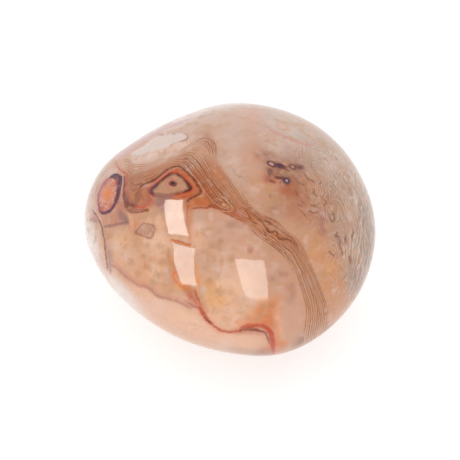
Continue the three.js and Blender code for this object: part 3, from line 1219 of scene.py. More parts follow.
THREADS = (
    Threads(Pigment.RIM_CLAY, 0.11, 0.6, (
        ((325, 190), (325.6, 185), (329, 182.2), (333.6, 183.6), (335.6, 188), (334.6, 192.4), (331, 194.6),
         (327.4, 193.4), (325.4, 190.6)),
        ((328.5, 188.6), (329.5, 185.8), (332, 186.4), (332.8, 189.4), (331, 191.4), (328.8, 190.6)),
        ((343.5, 170), (346, 175), (349.5, 184.6), (352, 188), (354.6, 188), (356, 185), (355, 181)),
        ((334, 172), (339, 174.5), (343.5, 178), (349, 188.5), (352.5, 191)),
        ((336.5, 194), (343, 202), (346.2, 213)),
        ((327, 196.5), (332, 197.6), (337, 196.6), (341, 200), (343.5, 205), (344.8, 211)),
        ((329, 202), (334, 201), (338.6, 203), (341.6, 208), (343.4, 214), (350.5, 226), (352.6, 232)),
        ((326.5, 206.5), (329.6, 203.6), (334, 203.4), (337.4, 206.4), (341.6, 216.6)),
        ((334.6, 211.6), (338, 215), (340.5, 220), (343.6, 225), (345, 231), (344.6, 236), (346, 241),
         (345.4, 247)),
        ((355.4, 234), (354, 239.6), (353.4, 245)),
        ((356, 216), (357.6, 223), (357, 230), (358.6, 238), (358, 246)),
        ((361.5, 205), (363, 214), (362.4, 224), (363.6, 234), (363, 244)),
        ((318, 160), (323, 158), (327, 160), (328.6, 164)),
        ((308.6, 161.4), (311.6, 163), (310.6, 166.4), (314.4, 168.4), (316, 171.4)),
        ((319.6, 172.6), (321.6, 175.6), (319.4, 178.4)),
        ((330.4, 250), (331.6, 246.2), (335, 246.4), (336.4, 249.6)),
    )),
    Threads(Pigment.THREAD_DARK, 0.14, 0.7, (
        ((335, 229.6), (337, 233), (335, 235.4), (338.6, 236.6), (339.4, 240.4)),
        ((338.6, 237), (340.6, 241), (339.6, 244.5), (342.4, 253.4), (343.2, 257.6)),
        ((352, 228), (353.4, 233), (351.6, 238), (352.6, 243)),
        ((330.4, 214.6), (333.2, 213.6), (334.6, 217), (333.8, 221.4), (331.4, 221), (330, 218),
         (330.3, 215)),
        ((316, 184.4), (320, 183.4), (322.6, 180.6)),
        ((345, 231), (346, 236.5), (344.8, 241), (345.8, 246.5)),
    )),
    Threads(Pigment.THREAD_RUST, 0.1, 0.6, (
        ((243, 205), (249, 217), (253, 222), (258, 225)),
        ((236, 192), (243, 203), (246.6, 206.4)),
        ((240.6, 190), (243.4, 195.6), (247, 200.4), (246.6, 203.6), (249.6, 206.6)),
        ((252.6, 208.4), (257, 213.4), (263, 217.6), (272, 221)),
        ((279.6, 227.6), (284.6, 232.4), (295.4, 241.4), (300, 247)),
        ((262.6, 214.6), (269, 218), (276.4, 221.6), (290, 233)),
        ((249, 209.5), (254, 214.5), (265, 221), (270, 222), (273.4, 226.4)),
        ((262, 220), (264, 226), (268, 231), (274, 231.4), (277.4, 229)),
        ((273, 232.4), (277, 237), (281, 239.6), (287, 239)),
        ((257, 227), (262, 233), (266.4, 237.6)),
        ((280, 232.4), (290, 241), (295, 247)),
    )),
    Threads(Pigment.THREAD_RUST, 0.1, 0.7, (
        ((128, 179), (131, 183), (136, 185.4), (141, 183.6), (146, 181)),
        ((129.4, 187.6), (133, 190), (137, 188.8), (141, 190.6), (145, 188.6)),
        ((130.6, 193), (134, 195.4), (138, 193), (141.4, 194.6)),
        ((137.4, 193), (136, 198), (133.6, 203)),
        ((142.4, 192), (142.6, 197), (145, 203)),
        ((146.4, 191.6), (148.6, 196.6), (150.6, 201)),
        ((131, 197), (132, 200.6), (130.4, 203)),
        ((262, 237), (279, 250.6), (287, 258.4)),
        ((246, 226), (252, 230), (257, 235.6), (263, 240.6)),
    )),
    Threads(Pigment.THREAD_BROWN, 0.13, 0.42, (
        ((290, 243), (297, 253.6), (309, 275), (319, 296), (322.6, 305), (324, 314), (324, 322)),
        ((296, 244.6), (302, 253.4), (314, 276), (323, 299), (325.4, 308)),
        ((286, 244), (293, 254), (299, 265), (311, 290), (319, 310), (321, 319), (321.4, 327)),
        ((283, 251), (289, 257), (294, 265), (297, 273), (303, 288), (308, 306), (308.6, 316)),
    )),
    Threads(Pigment.THREAD_BROWN, 0.16, 0.8, (
        ((297, 197.5), (303.6, 202.6), (306, 203.4)),
        ((296.5, 202), (300, 205.4), (304.5, 207)),
        ((305.4, 195.6), (308.6, 198), (311.4, 199.6)),
        ((309, 203.5), (312, 205.4), (316, 206.4), (319.4, 209.6)),
        ((306.5, 209.6), (310.6, 211.6), (313, 213.4), (316.6, 212.4), (320.4, 214.4)),
        ((311, 187.6), (314.4, 189.6), (313.4, 193), (316.4, 195.6), (320.4, 196.6)),
        ((323.4, 199.6), (326.4, 201.6), (324.4, 205.4), (326, 208.6)),
        ((303.4, 187), (306.4, 189.6), (304.4, 192.4)),
        ((326.4, 254), (329.6, 251.6), (331.6, 254.6), (338.6, 258.2)),
        ((293, 187), (296, 190.4), (297, 194.6), (300.4, 197)),
        ((291, 176), (295, 178.4), (298.6, 182.6), (303, 184.4), (307.4, 188.4)),
        ((300, 172), (305, 174.6), (308, 179), (313, 181.6), (316.4, 186)),
        ((296, 206.6), (304, 213.6), (306.4, 218)),
        ((351, 252), (349.4, 257), (350.6, 262), (349, 267)),
    )),
    Threads(Pigment.THREAD_BROWN, 0.14, 0.6, (
        ((92, 226), (120, 204), (150, 190), (185, 180), (220, 176), (255, 182), (290, 196), (325, 218),
         (356, 246)),
        ((94, 232), (121, 209), (151, 195.5), (186, 185), (220, 181), (254, 187), (288, 202), (322, 225),
         (352, 253)),
        ((97, 239), (123, 215), (153, 201), (187, 190), (220, 187), (252, 193), (286, 209), (319, 232),
         (348, 261)),
        ((100, 245), (126, 222), (156, 206), (188, 196), (220, 193), (250, 199), (282, 215), (314, 240),
         (342, 270)),
        ((214, 118), (236, 116), (246, 124), (240, 134), (222, 136), (210, 128), (213, 119)),
        ((128, 152), (138, 146), (147, 150), (145, 158), (134, 161), (127, 154)),
    ), Side.FAR),
    Threads(Pigment.THREAD_DARK, 0.12, 0.6, (
        ((218, 121), (234, 119.5), (241, 125), (236, 131), (223, 132), (216, 127), (218, 121)),
        ((318, 150), (324, 158), (321, 167), (328, 176), (326, 186)),
        ((170, 232), (182, 240), (196, 238), (208, 246), (222, 244)),
    ), Side.FAR),
)

SPOTS = (
    Spot(107.8, 194, 5.2, 7.4, Pigment.CORE_ROSE, Pigment.CORE_ORANGE, 8, 0.5, 0.5, 0.9),
    Spot(115.4, 183.2, 1.4, 2.4, Pigment.RED, Pigment.RED, 20, 0.4, 0.4, 0.5),
    Spot(102.6, 209.6, 2.2, 1.4, Pigment.CRIMSON, Pigment.CRIMSON, 30, 0.3, 0.5, 0.5),
    Spot(147.2, 210.2, 1.0, 0.8, Pigment.CHESTNUT, Pigment.CHESTNUT, 0, 0.25, 0.8, 0.8),
    Spot(172, 183, 4.4, 3.8, Pigment.FLESH_RED, Pigment.FLESH_RED, 0, 0.35, 0.5, 0.6),
    Spot(172.8, 183.4, 2.9, 2.1, Pigment.PLUM, Pigment.PUPIL, 8, 0.22, 0.9, 1.0),
    Spot(138, 197.5, 2.6, 4.4, Pigment.UMBER_OCHRE, Pigment.UMBER_OCHRE, 25, 0.5, 0.2, 0.4),
    Spot(266.5, 155.2, 4.6, 2.6, Pigment.GREY_UMBER, Pigment.HAZE, 10, 0.45, 0.2, 0.45),
    Spot(257.5, 156, 3.0, 1.6, Pigment.HAZE, Pigment.HAZE, 20, 0.45, 0.15, 0.3),
    Spot(276.4, 165.1, 9.0, 2.8, Pigment.UMBER, Pigment.UMBER, 12, 0.35, 0.25, 0.4),
    Spot(271.4, 163.9, 3.8, 2.1, Pigment.PLUM, Pigment.MAUVE_PINK, 25, 0.25, 0.85, 0.75),
    Spot(280.2, 166.1, 4.4, 1.9, Pigment.PLUM, Pigment.SLATE_DARK, 12, 0.2, 0.85, 0.95),
    Spot(279.4, 165.3, 1.8, 1.0, Pigment.PURPLE, Pigment.PURPLE, 12, 0.25, 0.6, 0.7),
    Spot(300, 167.2, 4.0, 1.9, Pigment.UMBER, Pigment.UMBER, 8, 0.35, 0.3, 0.55),
    Spot(292.6, 167, 3.0, 2.0, Pigment.UMBER, Pigment.MAUVE_PINK, 20, 0.28, 0.8, 0.6),
    Spot(300.2, 167.5, 1.6, 1.0, Pigment.UMBER, Pigment.PLUM_GREY, 15, 0.3, 0.7, 0.9),
    Spot(270.3, 171.8, 1.7, 2.4, Pigment.UMBER, Pigment.BLUE_GREY, -5, 0.28, 0.6, 0.85),
    Spot(266.8, 178, 2.4, 2.8, Pigment.CRIMSON, Pigment.WINE, 0, 0.5, 0.3, 0.5),
    Spot(272, 181.4, 2.4, 1.0, Pigment.ROSE_PLUM, Pigment.ROSE_PLUM, 20, 0.25, 0.7, 0.85),
    Spot(278.4, 177.8, 2.8, 1.1, Pigment.PLUM, Pigment.PLUM, 10, 0.22, 0.8, 0.9),
    Spot(283.2, 178, 1.8, 1.0, Pigment.UMBER, Pigment.UMBER, 30, 0.25, 0.7, 0.8),
    Spot(286.6, 181, 4.2, 3.6, Pigment.UMBER, Pigment.PLUM, 30, 0.35, 0.4, 0.6),
    Spot(286.8, 180.8, 2.6, 2.0, Pigment.PURPLE, Pigment.LILAC, 35, 0.25, 0.85, 0.75),
    Spot(270.4, 196, 1.8, 3.4, Pigment.OLIVE, Pigment.HAZE, -20, 0.35, 0.3, 0.45),
    Spot(276.4, 196.6, 2.4, 1.8, Pigment.OLIVE, Pigment.HAZE, 0, 0.4, 0.2, 0.3),
    Spot(332, 217.2, 1.9, 3.2, Pigment.GREY_UMBER, Pigment.SHELL_PINK, 5, 0.22, 0.4, 0.3),
    Spot(173.8, 134.1, 1.1, 0.5, Pigment.GREY_BROWN, Pigment.GREY_BROWN, 0, 0.15, 0.5, 0.6),
    Spot(162.2, 134.9, 0.8, 0.5, Pigment.GREY_BROWN, Pigment.GREY_BROWN, 0, 0.15, 0.5, 0.6),
    Spot(91.6, 219.7, 1.1, 0.7, Pigment.GREY_BROWN, Pigment.GREY_BROWN, 20, 0.2, 0.6, 0.6),
    Spot(95.4, 221.2, 1.1, 0.7, Pigment.GREY_BROWN, Pigment.GREY_BROWN, 20, 0.2, 0.6, 0.6),
    Spot(228, 125.6, 3.4, 2.2, Pigment.PURPLE_BROWN, Pigment.CORE_ORANGE, 10, 0.25, 0.8, 0.7, Side.FAR),
    Spot(137, 153.6, 3.0, 2.4, Pigment.PLUM, Pigment.DUSTY_PINK, 0, 0.2, 0.9, 0.9, Side.FAR),
    Spot(286, 150, 2.4, 2.0, Pigment.UMBER, Pigment.MAUVE, 20, 0.2, 0.9, 0.8, Side.FAR),
    Spot(296, 153, 3.6, 1.7, Pigment.PLUM, Pigment.SLATE_DARK, 12, 0.25, 0.8, 0.9, Side.FAR),
    Spot(180, 152, 1.8, 1.4, Pigment.UMBER, Pigment.UMBER, 0, 0.3, 0.6, 0.7, Side.FAR),
    Spot(250.2, 250.4, 1.7, 2.0, Pigment.REDDISH, Pigment.RUSSET, 30, 0.5, 0.4, 0.75),
)

CLOUDS = (
    Clouds(Pigment.SHELL, ((240, 116, 15, 5),)),
    Clouds(Pigment.COOL_TAUPE, ((300, 128, 7, 3, 25, 0.8), (328, 160, 6, 6))),
    Clouds(Pigment.CREAM, ((235, 152, 3.6, 6.5), (250, 172, 3, 5, -30))),
    Clouds(Pigment.CLAY_ROSE, (
        (262, 204, 4, 4.5, -35, 0.8), (343, 296, 3, 4, 0, 0.8), (274, 270, 3.5, 5, -20, 0.8),
    )),
    Clouds(Pigment.TAUPE, ((344, 190, 5, 7), (356, 235, 3.6, 8))),
    Clouds(Pigment.WARM_TAUPE, ((338, 214, 4, 4.5, 0, 0.9),)),
    Clouds(Pigment.CLAY_TAUPE, ((317, 204, 3, 4, 0, 0.9),)),
    Clouds(Pigment.CLAY, ((317, 246, 2.2, 4.5, 0, 0.9), (331, 274, 2.8, 5))),
    Clouds(Pigment.CLAY_BROWN, ((268, 160, 4, 3.4, 10, 0.9),)),
    Clouds(Pigment.HAZE, ((286, 171, 3.9, 2.1, 0, 0.95),)),
    Clouds(Pigment.DEEP_CLAY, ((293, 200, 4, 2.4, 25, 0.8),)),
    Clouds(Pigment.CLAY_RED, ((303, 206, 3.2, 2.6, 50, 0.85),)),
    Clouds(Pigment.PEACH, ((130, 250, 4.4, 4.4),)),
    Clouds(Pigment.SALMON, ((158, 258, 2.6, 4.4, 0, 0.9),)),
    Clouds(Pigment.BLUSH, ((200, 325, 11, 3.2, 20), (160, 304, 6, 2.4, 30))),
    Clouds(Pigment.MAUVE_BEIGE, ((222, 236, 5.5, 4.5), (289, 312, 2.6, 5, 0, 0.9))),
    Clouds(Pigment.SAND, ((230, 280, 5, 5), (232, 312, 4.5, 3))),
    Clouds(Pigment.SHELL_PINK, ((249, 118, 1.8, 4, 0, 0.9), (96, 192, 0.7, 3, 12, 0.8))),
    Clouds(Pigment.SHELL, (
        (276, 140, 2.4, 2, 20, 0.9), (97, 190, 1.2, 3.4, 25, 0.8), (235, 142, 1.7, 4.6, 0, 0.9),
        (279, 145, 2.6, 1.8, 10, 0.9), (113, 173, 1.4, 0.8, -40), (194, 131, 1.6, 1.2, -20, 0.8),
    )),
    Clouds(Pigment.MAUVE_BEIGE, (
        (250, 161, 1.8, 3.4, -10, 0.9), (194, 224, 0.8, 2.2, 0, 0.8), (254, 171, 1.5, 2.4, -10, 0.9),
        (252, 239, 1.2, 1, 0, 0.8),
    )),
    Clouds(Pigment.FIELD, (
        (334, 280, 0.9, 1.6, 0, 0.5), (263, 314, 2.3, 1.9, -25), (274, 302, 1.5, 0.8, -40, 0.7),
        (279, 344, 1.4, 0.6, -10, 0.8),
    )),
    Clouds(Pigment.CLAY_BROWN, (
        (300, 184, 3.2, 2.2, 20, 0.9), (275, 193, 1, 0.8, 20, 0.6), (205, 136, 1, 0.9, 0, 0.8),
        (269, 155, 1.3, 0.6, 10, 0.8),
    )),
    Clouds(Pigment.RUSSET, (
        (290, 190.5, 2.7, 1.7, 40, 0.95), (279, 184, 0.8, 0.6, 20, 0.8), (297, 197, 2, 1.8, 40, 0.65),
    )),
    Clouds(Pigment.OCHRE_ORANGE, (
        (285, 188.5, 0.75, 0.7, 0, 0.7), (291.3, 195.5, 0.45, 0.4, 0, 0.7), (200, 198, 3.2, 1.2, 0, 0.9),
        (188, 212, 0.7, 2.6, 0, 0.7),
    )),
    Clouds(Pigment.SALMON, (
        (292, 204, 0.9, 1, 0, 0.7), (138, 230, 2.4, 1.6, 0, 0.9), (142, 278, 1.9, 1.1, 20, 0.9),
    )),
    Clouds(Pigment.SALMON_CLAY, ((264, 184, 1.8, 1.4, 0, 0.8), (163, 181, 1.6, 0.9, -30, 0.4))),
    Clouds(Pigment.CLAY, (
        (272, 188, 1.8, 1.1, 20, 0.8), (163, 284, 1.6, 2, 0, 0.6), (334, 280, 1.5, 1.6, 0, 0.8),
        (208, 286, 0.7, 1.3, 0, 0.9),
    )),
    Clouds(Pigment.SAND, (
        (160, 234, 1, 2.6, 0, 0.9), (120, 244, 1.5, 1.8, 0, 0.6), (184, 215, 0.9, 0.8, 0, 0.7),
        (214, 227, 1, 0.7, 0, 0.7), (234, 247, 1, 0.8, 0, 0.7), (252, 240.5, 1, 0.8, 0, 0.6),
    )),
    Clouds(Pigment.MAUVE, ((110, 256, 0.45, 1.4, -8, 0.9), (94.5, 217.5, 0.7, 1.3, 0, 0.9))),
    Clouds(Pigment.BLUSH, ((240, 338, 4, 2, 0, 0.7),)),
    Clouds(Pigment.GLOW, ((216, 297, 2.4, 2, 0, 0.8),)),
    Clouds(Pigment.AMBER_RUST, (
        (270, 307.5, 0.75, 0.45, -15, 0.85), (262, 314.5, 0.5, 0.6, 0, 0.6),
        (268.8, 315.5, 0.7, 0.7, 0, 0.75), (269, 306, 0.9, 0.6, -20, 0.7),
    )),
    Clouds(Pigment.EMBER_ORANGE, ((268, 322.5, 1.4, 0.9, 0, 0.8), (250, 323.5, 1.5, 0.6, -8, 0.6))),
    Clouds(Pigment.PEACH_GLOW, ((278, 326, 0.7, 2.6, -8, 0.8),)),
    Clouds(Pigment.REDDISH, (
        (140, 198, 2.5, 1.9, 0, 0.95), (252, 331.5, 2.8, 0.5, 4, 0.6), (238, 331.5, 1, 0.5, 0, 0.6),
    )),
    Clouds(Pigment.DUSKY_ROSE, ((117, 219, 2.4, 1.3, 0, 0.55), (158, 203, 0.9, 0.7, 0, 0.8))),
    # Pale blush of the stone with a painted reflection on it: the pale streak at the upper left and the pale
    # rim at the lower left.
    Clouds(Pigment.PALE_BLUSH, (
        (143, 158.5, 2.8, 1.1, -22), (162, 151.5, 2.6, 0.9, -24, 0.9), (104, 270, 1.5, 3, -35, 1.0),
        (128, 298, 4, 1.2, 40, 0.7), (182, 145, 1.6, 0.9, -28, 0.8), (95, 233, 0.7, 2.6, -6, 0.9),
    )),
    Clouds(Pigment.DUSKY_CORAL, ((121, 208, 0.8, 1.7, 8, 0.9), (112, 219, 1.6, 1, 0, 0.2))),
    # Painted reflection of the white room along the left, lower-left and top rim, over the stone's pale
    # glassy skin at the left.
    Clouds(Pigment.RIM_WHITE, (
        (88, 240, 1.3, 5.5, -8, 0.9), (95, 270, 1.0, 4.5, -28, 0.6), (117, 290, 1.2, 4.5, -46, 0.8),
        (172, 120, 1.1, 6, 66), (215, 105, 6, 0.8, -10, 0.7), (95, 237, 0.8, 3, -6, 0.5),
    )),
    # Painted shade along the right rim.
    Clouds(Pigment.COOL_TAUPE, ((370, 222, 1.2, 6, 0, 0.7),)),
    Clouds(Pigment.CLAY_RED, ((297, 201, 2, 1.5, 40, 0.9), (292, 206, 1.6, 1.2, 0, 0.6))),
    Clouds(Pigment.DEEP_CLAY, ((276, 211, 1.8, 1, 20, 0.8), (318, 200, 1.6, 1.4, 0, 0.6))),
    Clouds(Pigment.ROSE_GREY, ((321.5, 221, 0.6, 1.9, 0, 0.8), (323, 214, 0.8, 0.8, 0, 0.8))),
    Clouds(Pigment.CLAY_ROSE, (
        (243, 227, 2.4, 0.7, 28, 0.9), (144, 223, 0.9, 0.9, 0, 0.5), (305, 239, 1.2, 1.8, 0, 0.7),
    )),
    Clouds(Pigment.PEACH_PALE, (
        (156, 246, 1.9, 2, 0, 0.75), (155, 271, 1.3, 1.2, 0, 0.6), (228, 290, 2.6, 1.9, 0, 0.8),
        (187, 316, 2, 0.8, 20, 0.6), (165, 247, 2.2, 1.2, 30, 0.5),
    )),
    Clouds(Pigment.PEACH_LIGHT, (
        (154, 217, 1.6, 1.5, 0, 0.9), (258, 300, 1.6, 0.8, 0, 0.8), (226, 319, 3.2, 1, 12, 0.8),
        (197, 236, 1.4, 2.4, 0, 0.8), (188, 286, 0.8, 0.7, 0, 0.7), (175, 238, 0.9, 0.4, 10, 0.9),
        (239, 310, 2, 1.9, 0, 0.7), (163, 288, 0.9, 0.8, 0, 0.7), (285, 164, 0.5, 0.3, 10, 0.5),
    )),
    # Painted shade along the right rim, where the polish would mirror the white room.
    Clouds(Pigment.RIM_SHADE, (
        (369, 256, 1.4, 5, -10, 0.8), (357, 281, 2, 3, -30, 0.8), (366, 206, 1.2, 4, 8, 0.7),
        (371, 248, 1, 5, 0, 0.5), (373, 252, 0.9, 4, -6, 0.9),
    )),
    Clouds(Pigment.OCHRE_SAND, (
        (334, 279, 1.2, 1.3, 0, 0.85), (177, 288, 0.8, 0.5, 0, 0.6), (323, 246, 1.5, 2.6, 0, 0.45),
    )),
    # Painted shade along the lower rim, where the polish would mirror the white room.
    Clouds(Pigment.RIM_CLAY, (
        (308, 341.5, 2.6, 1.1, -34), (266, 355, 2.4, 0.9, -6), (318, 332, 1.6, 2.6, 38, 0.85),
        (319, 333, 1.6, 1, -40, 0.8), (238, 352, 3.2, 0.7, 4, 0.5), (306, 342, 1.4, 0.7, -34, 0.7),
    )),
    Clouds(Pigment.TOP_GREY, ((286, 128, 2.6, 1.3, 20, 0.9),)),
    # The pale streak at the upper left: a painted reflection on pale stone.
    Clouds(Pigment.MILK, ((140, 157, 1.6, 0.8, -20, 0.7),)),
    Clouds(Pigment.UMBER_CLAY, ((304, 187, 1.2, 0.9, 0, 0.6), (319, 200, 1.6, 1.4, 0, 0.5))),
    Clouds(Pigment.DIM_MAUVE, ((161, 201, 0.9, 0.7, 0, 0.8), (162, 206, 0.9, 1.2, 0, 0.7))),
    Clouds(Pigment.OCHRE_ROSE, (
        (131, 225, 0.9, 0.8, 0, 0.6), (268, 352, 1.3, 0.8, 0, 0.8), (280, 346, 1.2, 0.7, 0, 0.7),
        (277, 347, 1.1, 0.7, 0, 0.6), (279, 186, 0.9, 0.7, 0, 0.6), (260, 156, 1.2, 0.9, 0, 0.4),
        (138, 229, 0.9, 0.7, 0, 0.45), (278, 346, 0.9, 0.6, 0, 0.5),
    )),
    Clouds(Pigment.CLAY_TAUPE, ((332, 231, 1.6, 1.7, 0, 0.8),)),
    Clouds(Pigment.HAZE, ((286, 171, 1.1, 0.5, 0, 0.7), (288, 172.5, 1.2, 0.7, 10, 0.6))),
    Clouds(Pigment.HONEY, (
        (210, 285, 0.9, 1.2, 0, 0.8), (211, 299, 1.2, 0.9, 0, 0.7), (221.5, 300, 0.9, 0.7, 0, 0.6),
    )),
    Clouds(Pigment.CORAL_DARK, ((271, 325, 0.9, 0.8, 0, 0.6),)),
    Clouds(Pigment.ORANGE, ((264, 311, 1.9, 1.3, -20, 0.7), (186, 289, 0.9, 0.6, 30, 0.7))),
    # Painted shade at the right rim.
    Clouds(Pigment.TAUPE, ((373, 252, 0.7, 3, -6, 0.5),)),
    # Painted shade along the lower and right rim.
    Clouds(Pigment.GREY_UMBER, (
        (306, 342.5, 2.4, 1.2, -34, 0.62), (372, 248, 0.8, 4, 0, 0.4), (266, 355, 2.2, 0.7, -6, 0.4),
    )),
    Clouds(Pigment.DUSKY_CORAL, ((94.5, 219, 0.7, 0.9, 0, 0.8), (104, 266, 0.9, 1.6, -30, 0.3))),
    Clouds(Pigment.TAN, ((299, 213, 0.8, 0.8, 0, 0.8),)),
    Clouds(Pigment.REDDISH, (
        (280, 186, 0.8, 0.8, 0, 0.5), (273, 339, 0.9, 0.6, 0, 0.5), (123, 184, 1, 1.4, 0, 0.6),
    )),
    Clouds(Pigment.SALMON_CLAY, ((305, 238, 0.9, 0.9, 0, 0.6), (244, 229, 1, 0.7, 0, 0.7))),
    Clouds(Pigment.CLAY_BROWN, ((261, 155, 0.8, 0.7, 0, 0.6),)),
    Clouds(Pigment.GLOW, ((187, 289, 0.7, 0.6, 0, 0.5), (220, 293, 0.9, 0.8, 0, 0.7))),
    Clouds(Pigment.BLUSH, ((239, 298, 0.9, 0.8, 0, 0.7), (241, 319, 1, 0.7, 0, 0.6))),
    Clouds(Pigment.CLAY, ((209, 286, 0.6, 0.8, 0, 0.7),)),
    Clouds(Pigment.SHELL, ((150, 170, 9, 7, 0, 0.9),), Side.FAR),
    Clouds(Pigment.TAUPE, ((250, 150, 8, 6, 20, 0.9),), Side.FAR),
    Clouds(Pigment.BLUSH, ((180, 290, 9, 6, 0, 0.9),), Side.FAR),
    Clouds(Pigment.CLAY, ((130, 230, 4, 6, 20, 0.8),), Side.FAR),
    Clouds(Pigment.CREAM, ((240, 230, 7, 5, 0, 0.9),), Side.FAR),
    Clouds(Pigment.SALMON, ((330, 240, 5, 8, 0, 0.8),), Side.FAR),
    Clouds(Pigment.PEACH, ((270, 310, 6, 4, 0, 0.8),), Side.FAR),
)

BLOTS = (
    Blots(Pigment.OLIVE, (
        (211, 258, 0.6, 0.6), (231, 259, 0.6, 0.6), (205, 268, 0.5, 0.4), (131, 261.5, 0.5, 0.8),
        (144, 256, 0.4, 0.8), (148, 267, 0.45, 0.7), (136, 244, 0.8, 0.6), (168, 262, 0.6, 0.6),
        (161, 262, 0.5, 0.7), (153, 282, 0.6, 0.6), (158, 275, 0.5, 0.7), (109, 236, 0.55, 0.8),
        (147, 245, 0.5, 0.6), (166, 273, 0.5, 0.6), (165, 285, 0.5, 0.6), (170, 291, 0.5, 0.6),
        (150, 260, 0.4, 0.5), (118, 232, 0.5, 0.3), (246, 236, 0.6, 0.3), (262, 244, 0.6, 0.3),
        (279, 199, 0.8, 0.5), (276, 204, 0.6, 0.4),
    )),
    Blots(Pigment.TAN, (
        (220.5, 242, 0.45, 0.9), (211, 246, 0.4, 0.7), (214, 246, 0.4, 0.6), (210, 281, 0.5, 0.8),
        (222, 260, 0.3, 0.6), (232, 260, 0.3, 0.5), (228, 224.5, 0.4, 0.6), (234, 226, 0.5, 0.6),
        (242, 227, 0.5, 0.5), (293, 290, 0.5, 0.6), (293, 284, 0.4, 0.5), (316, 184, 0.6, 0.6),
        (323, 206, 0.5, 0.7), (326, 202, 0.4, 0.6), (310, 178, 0.8, 0.5), (304, 187, 0.6, 0.6),
        (309, 187, 0.5, 0.6), (318, 190, 0.6, 0.5), (313, 196, 0.5, 0.6), (272, 196, 0.7, 0.6),
    )),
    Blots(Pigment.GREY_MAUVE, (
        (125.5, 219.5, 0.8, 0.8), (231, 224, 0.5, 0.6), (290, 300, 0.8, 0.4), (318, 182, 0.6, 0.6),
        (338, 238, 0.6, 0.8), (340, 243, 0.5, 0.7), (337, 255, 0.6, 0.7), (273, 210, 0.8, 0.3),
        (104, 231, 0.4, 0.4), (288, 150, 0.9, 0.3), (300, 158, 0.9, 0.3), (353, 262, 0.7, 0.4),
        (360, 275, 0.7, 0.4), (357, 285, 0.7, 0.4),
    )),
    Blots(Pigment.ROSE_GREY, (
        (281, 273.5, 0.45, 0.8), (285.5, 274, 0.45, 0.8), (272, 279, 0.6, 0.5), (290, 287, 0.7, 0.5),
        (293, 295, 0.6, 0.4), (322.5, 217, 0.5, 0.9), (322.5, 231.5, 0.5, 0.9), (137, 202, 0.45, 0.8),
        (131, 203, 0.6, 0.8), (250.4, 250.4, 0.35, 0.8), (241, 224.5, 0.9, 0.4),
    )),
    Blots(Pigment.RUSSET, (
        (321.6, 230.2, 0.7, 0.6), (296, 192, 0.8, 0.6), (284, 189, 0.7, 0.6), (290, 190, 0.6, 0.4),
        (272, 178, 0.9, 0.6), (268, 180, 0.6, 0.5), (176, 243, 0.5, 0.5), (190, 290, 0.8, 0.5),
        (186, 288, 0.7, 0.4), (336, 206, 0.5, 0.3), (150, 203, 0.7, 0.5), (139, 190, 0.8, 0.4),
    )),
    Blots(Pigment.GLOW, (
        (209, 297, 0.8, 0.7), (221, 300, 0.7, 0.6), (210, 287, 0.8, 0.5), (231, 292, 1, 0.4),
        (122, 236, 1, 0.3), (148, 284, 0.6, 0.3), (251, 310, 0.9, 0.4), (328, 268, 1, 0.3),
        (316, 250, 1, 0.3), (186, 240, 0.7, 0.5), (178, 287, 0.7, 0.6), (184, 281, 0.5, 0.5),
    )),
    Blots(Pigment.PALE_BLUSH, (
        (230, 248, 0.6, 0.5), (218, 272, 0.9, 0.5), (240, 228, 0.8, 0.4), (200, 226, 0.9, 0.4),
        (225, 268, 0.6, 0.4), (204, 290, 0.6, 0.6), (116, 246, 0.9, 0.4), (126, 256, 0.7, 0.4),
        (152, 264, 0.5, 0.3), (142, 228, 0.5, 0.5), (160, 306, 1.2, 0.4), (225, 345, 1.2, 0.4),
        (250, 300, 1, 0.4), (236, 160, 1, 0.3), (254, 190, 1, 0.3), (330, 165, 1, 0.4),
    )),
)

RIBBON_CLOUDS = (
    Clouds(Pigment.OCHRE, ((190, 176, 5.5, 4.4, 35, 0.9), (230, 208, 5, 2, 38, 0.8))),
    Clouds(Pigment.RIBBON_PALE, ((312, 330, 3, 4.5, 0, 0.3),)),
    Clouds(Pigment.OCHRE, (
        (160, 178, 4, 1.8, -25, 0.8), (278, 236, 4, 1.6, 35, 0.8), (241, 211, 2.6, 1.8, 40, 0.9),
        (217, 174, 1.6, 3.2, -32, 0.8),
    )),
    Clouds(Pigment.DEEP_OCHRE, ((206, 189, 2.4, 1.5, 45, 0.9), (241, 212, 2.2, 1.1, 40, 0.8))),
    Clouds(Pigment.OCHRE_ORANGE, (
        (240, 214, 2.4, 0.9, 35, 0.4), (200, 195, 1.4, 1.2, 0, 0.8), (203, 207, 2, 0.7, 0, 0.7),
        (191, 166, 1.2, 1.2, 0, 0.5), (196, 184, 1, 0.8, 0, 0.7),
    )),
    Clouds(Pigment.SIENNA, ((140, 182, 2, 1.6, 0, 0.35),)),
    Clouds(Pigment.RIBBON_PALE, ((200, 153, 2.3, 1.9, -20),)),
    # The pale streak at the upper left, here and in the next row: a painted reflection on pale stone.
    Clouds(Pigment.PALE_BLUSH, ((165, 153.2, 5, 1.3, -24),)),
    Clouds(Pigment.MILK, ((163, 151, 1.2, 0.8, -20, 0.6),)),
    Clouds(Pigment.DEEP_OCHRE, ((163, 181, 1.1, 0.8, -20, 0.7),)),
)


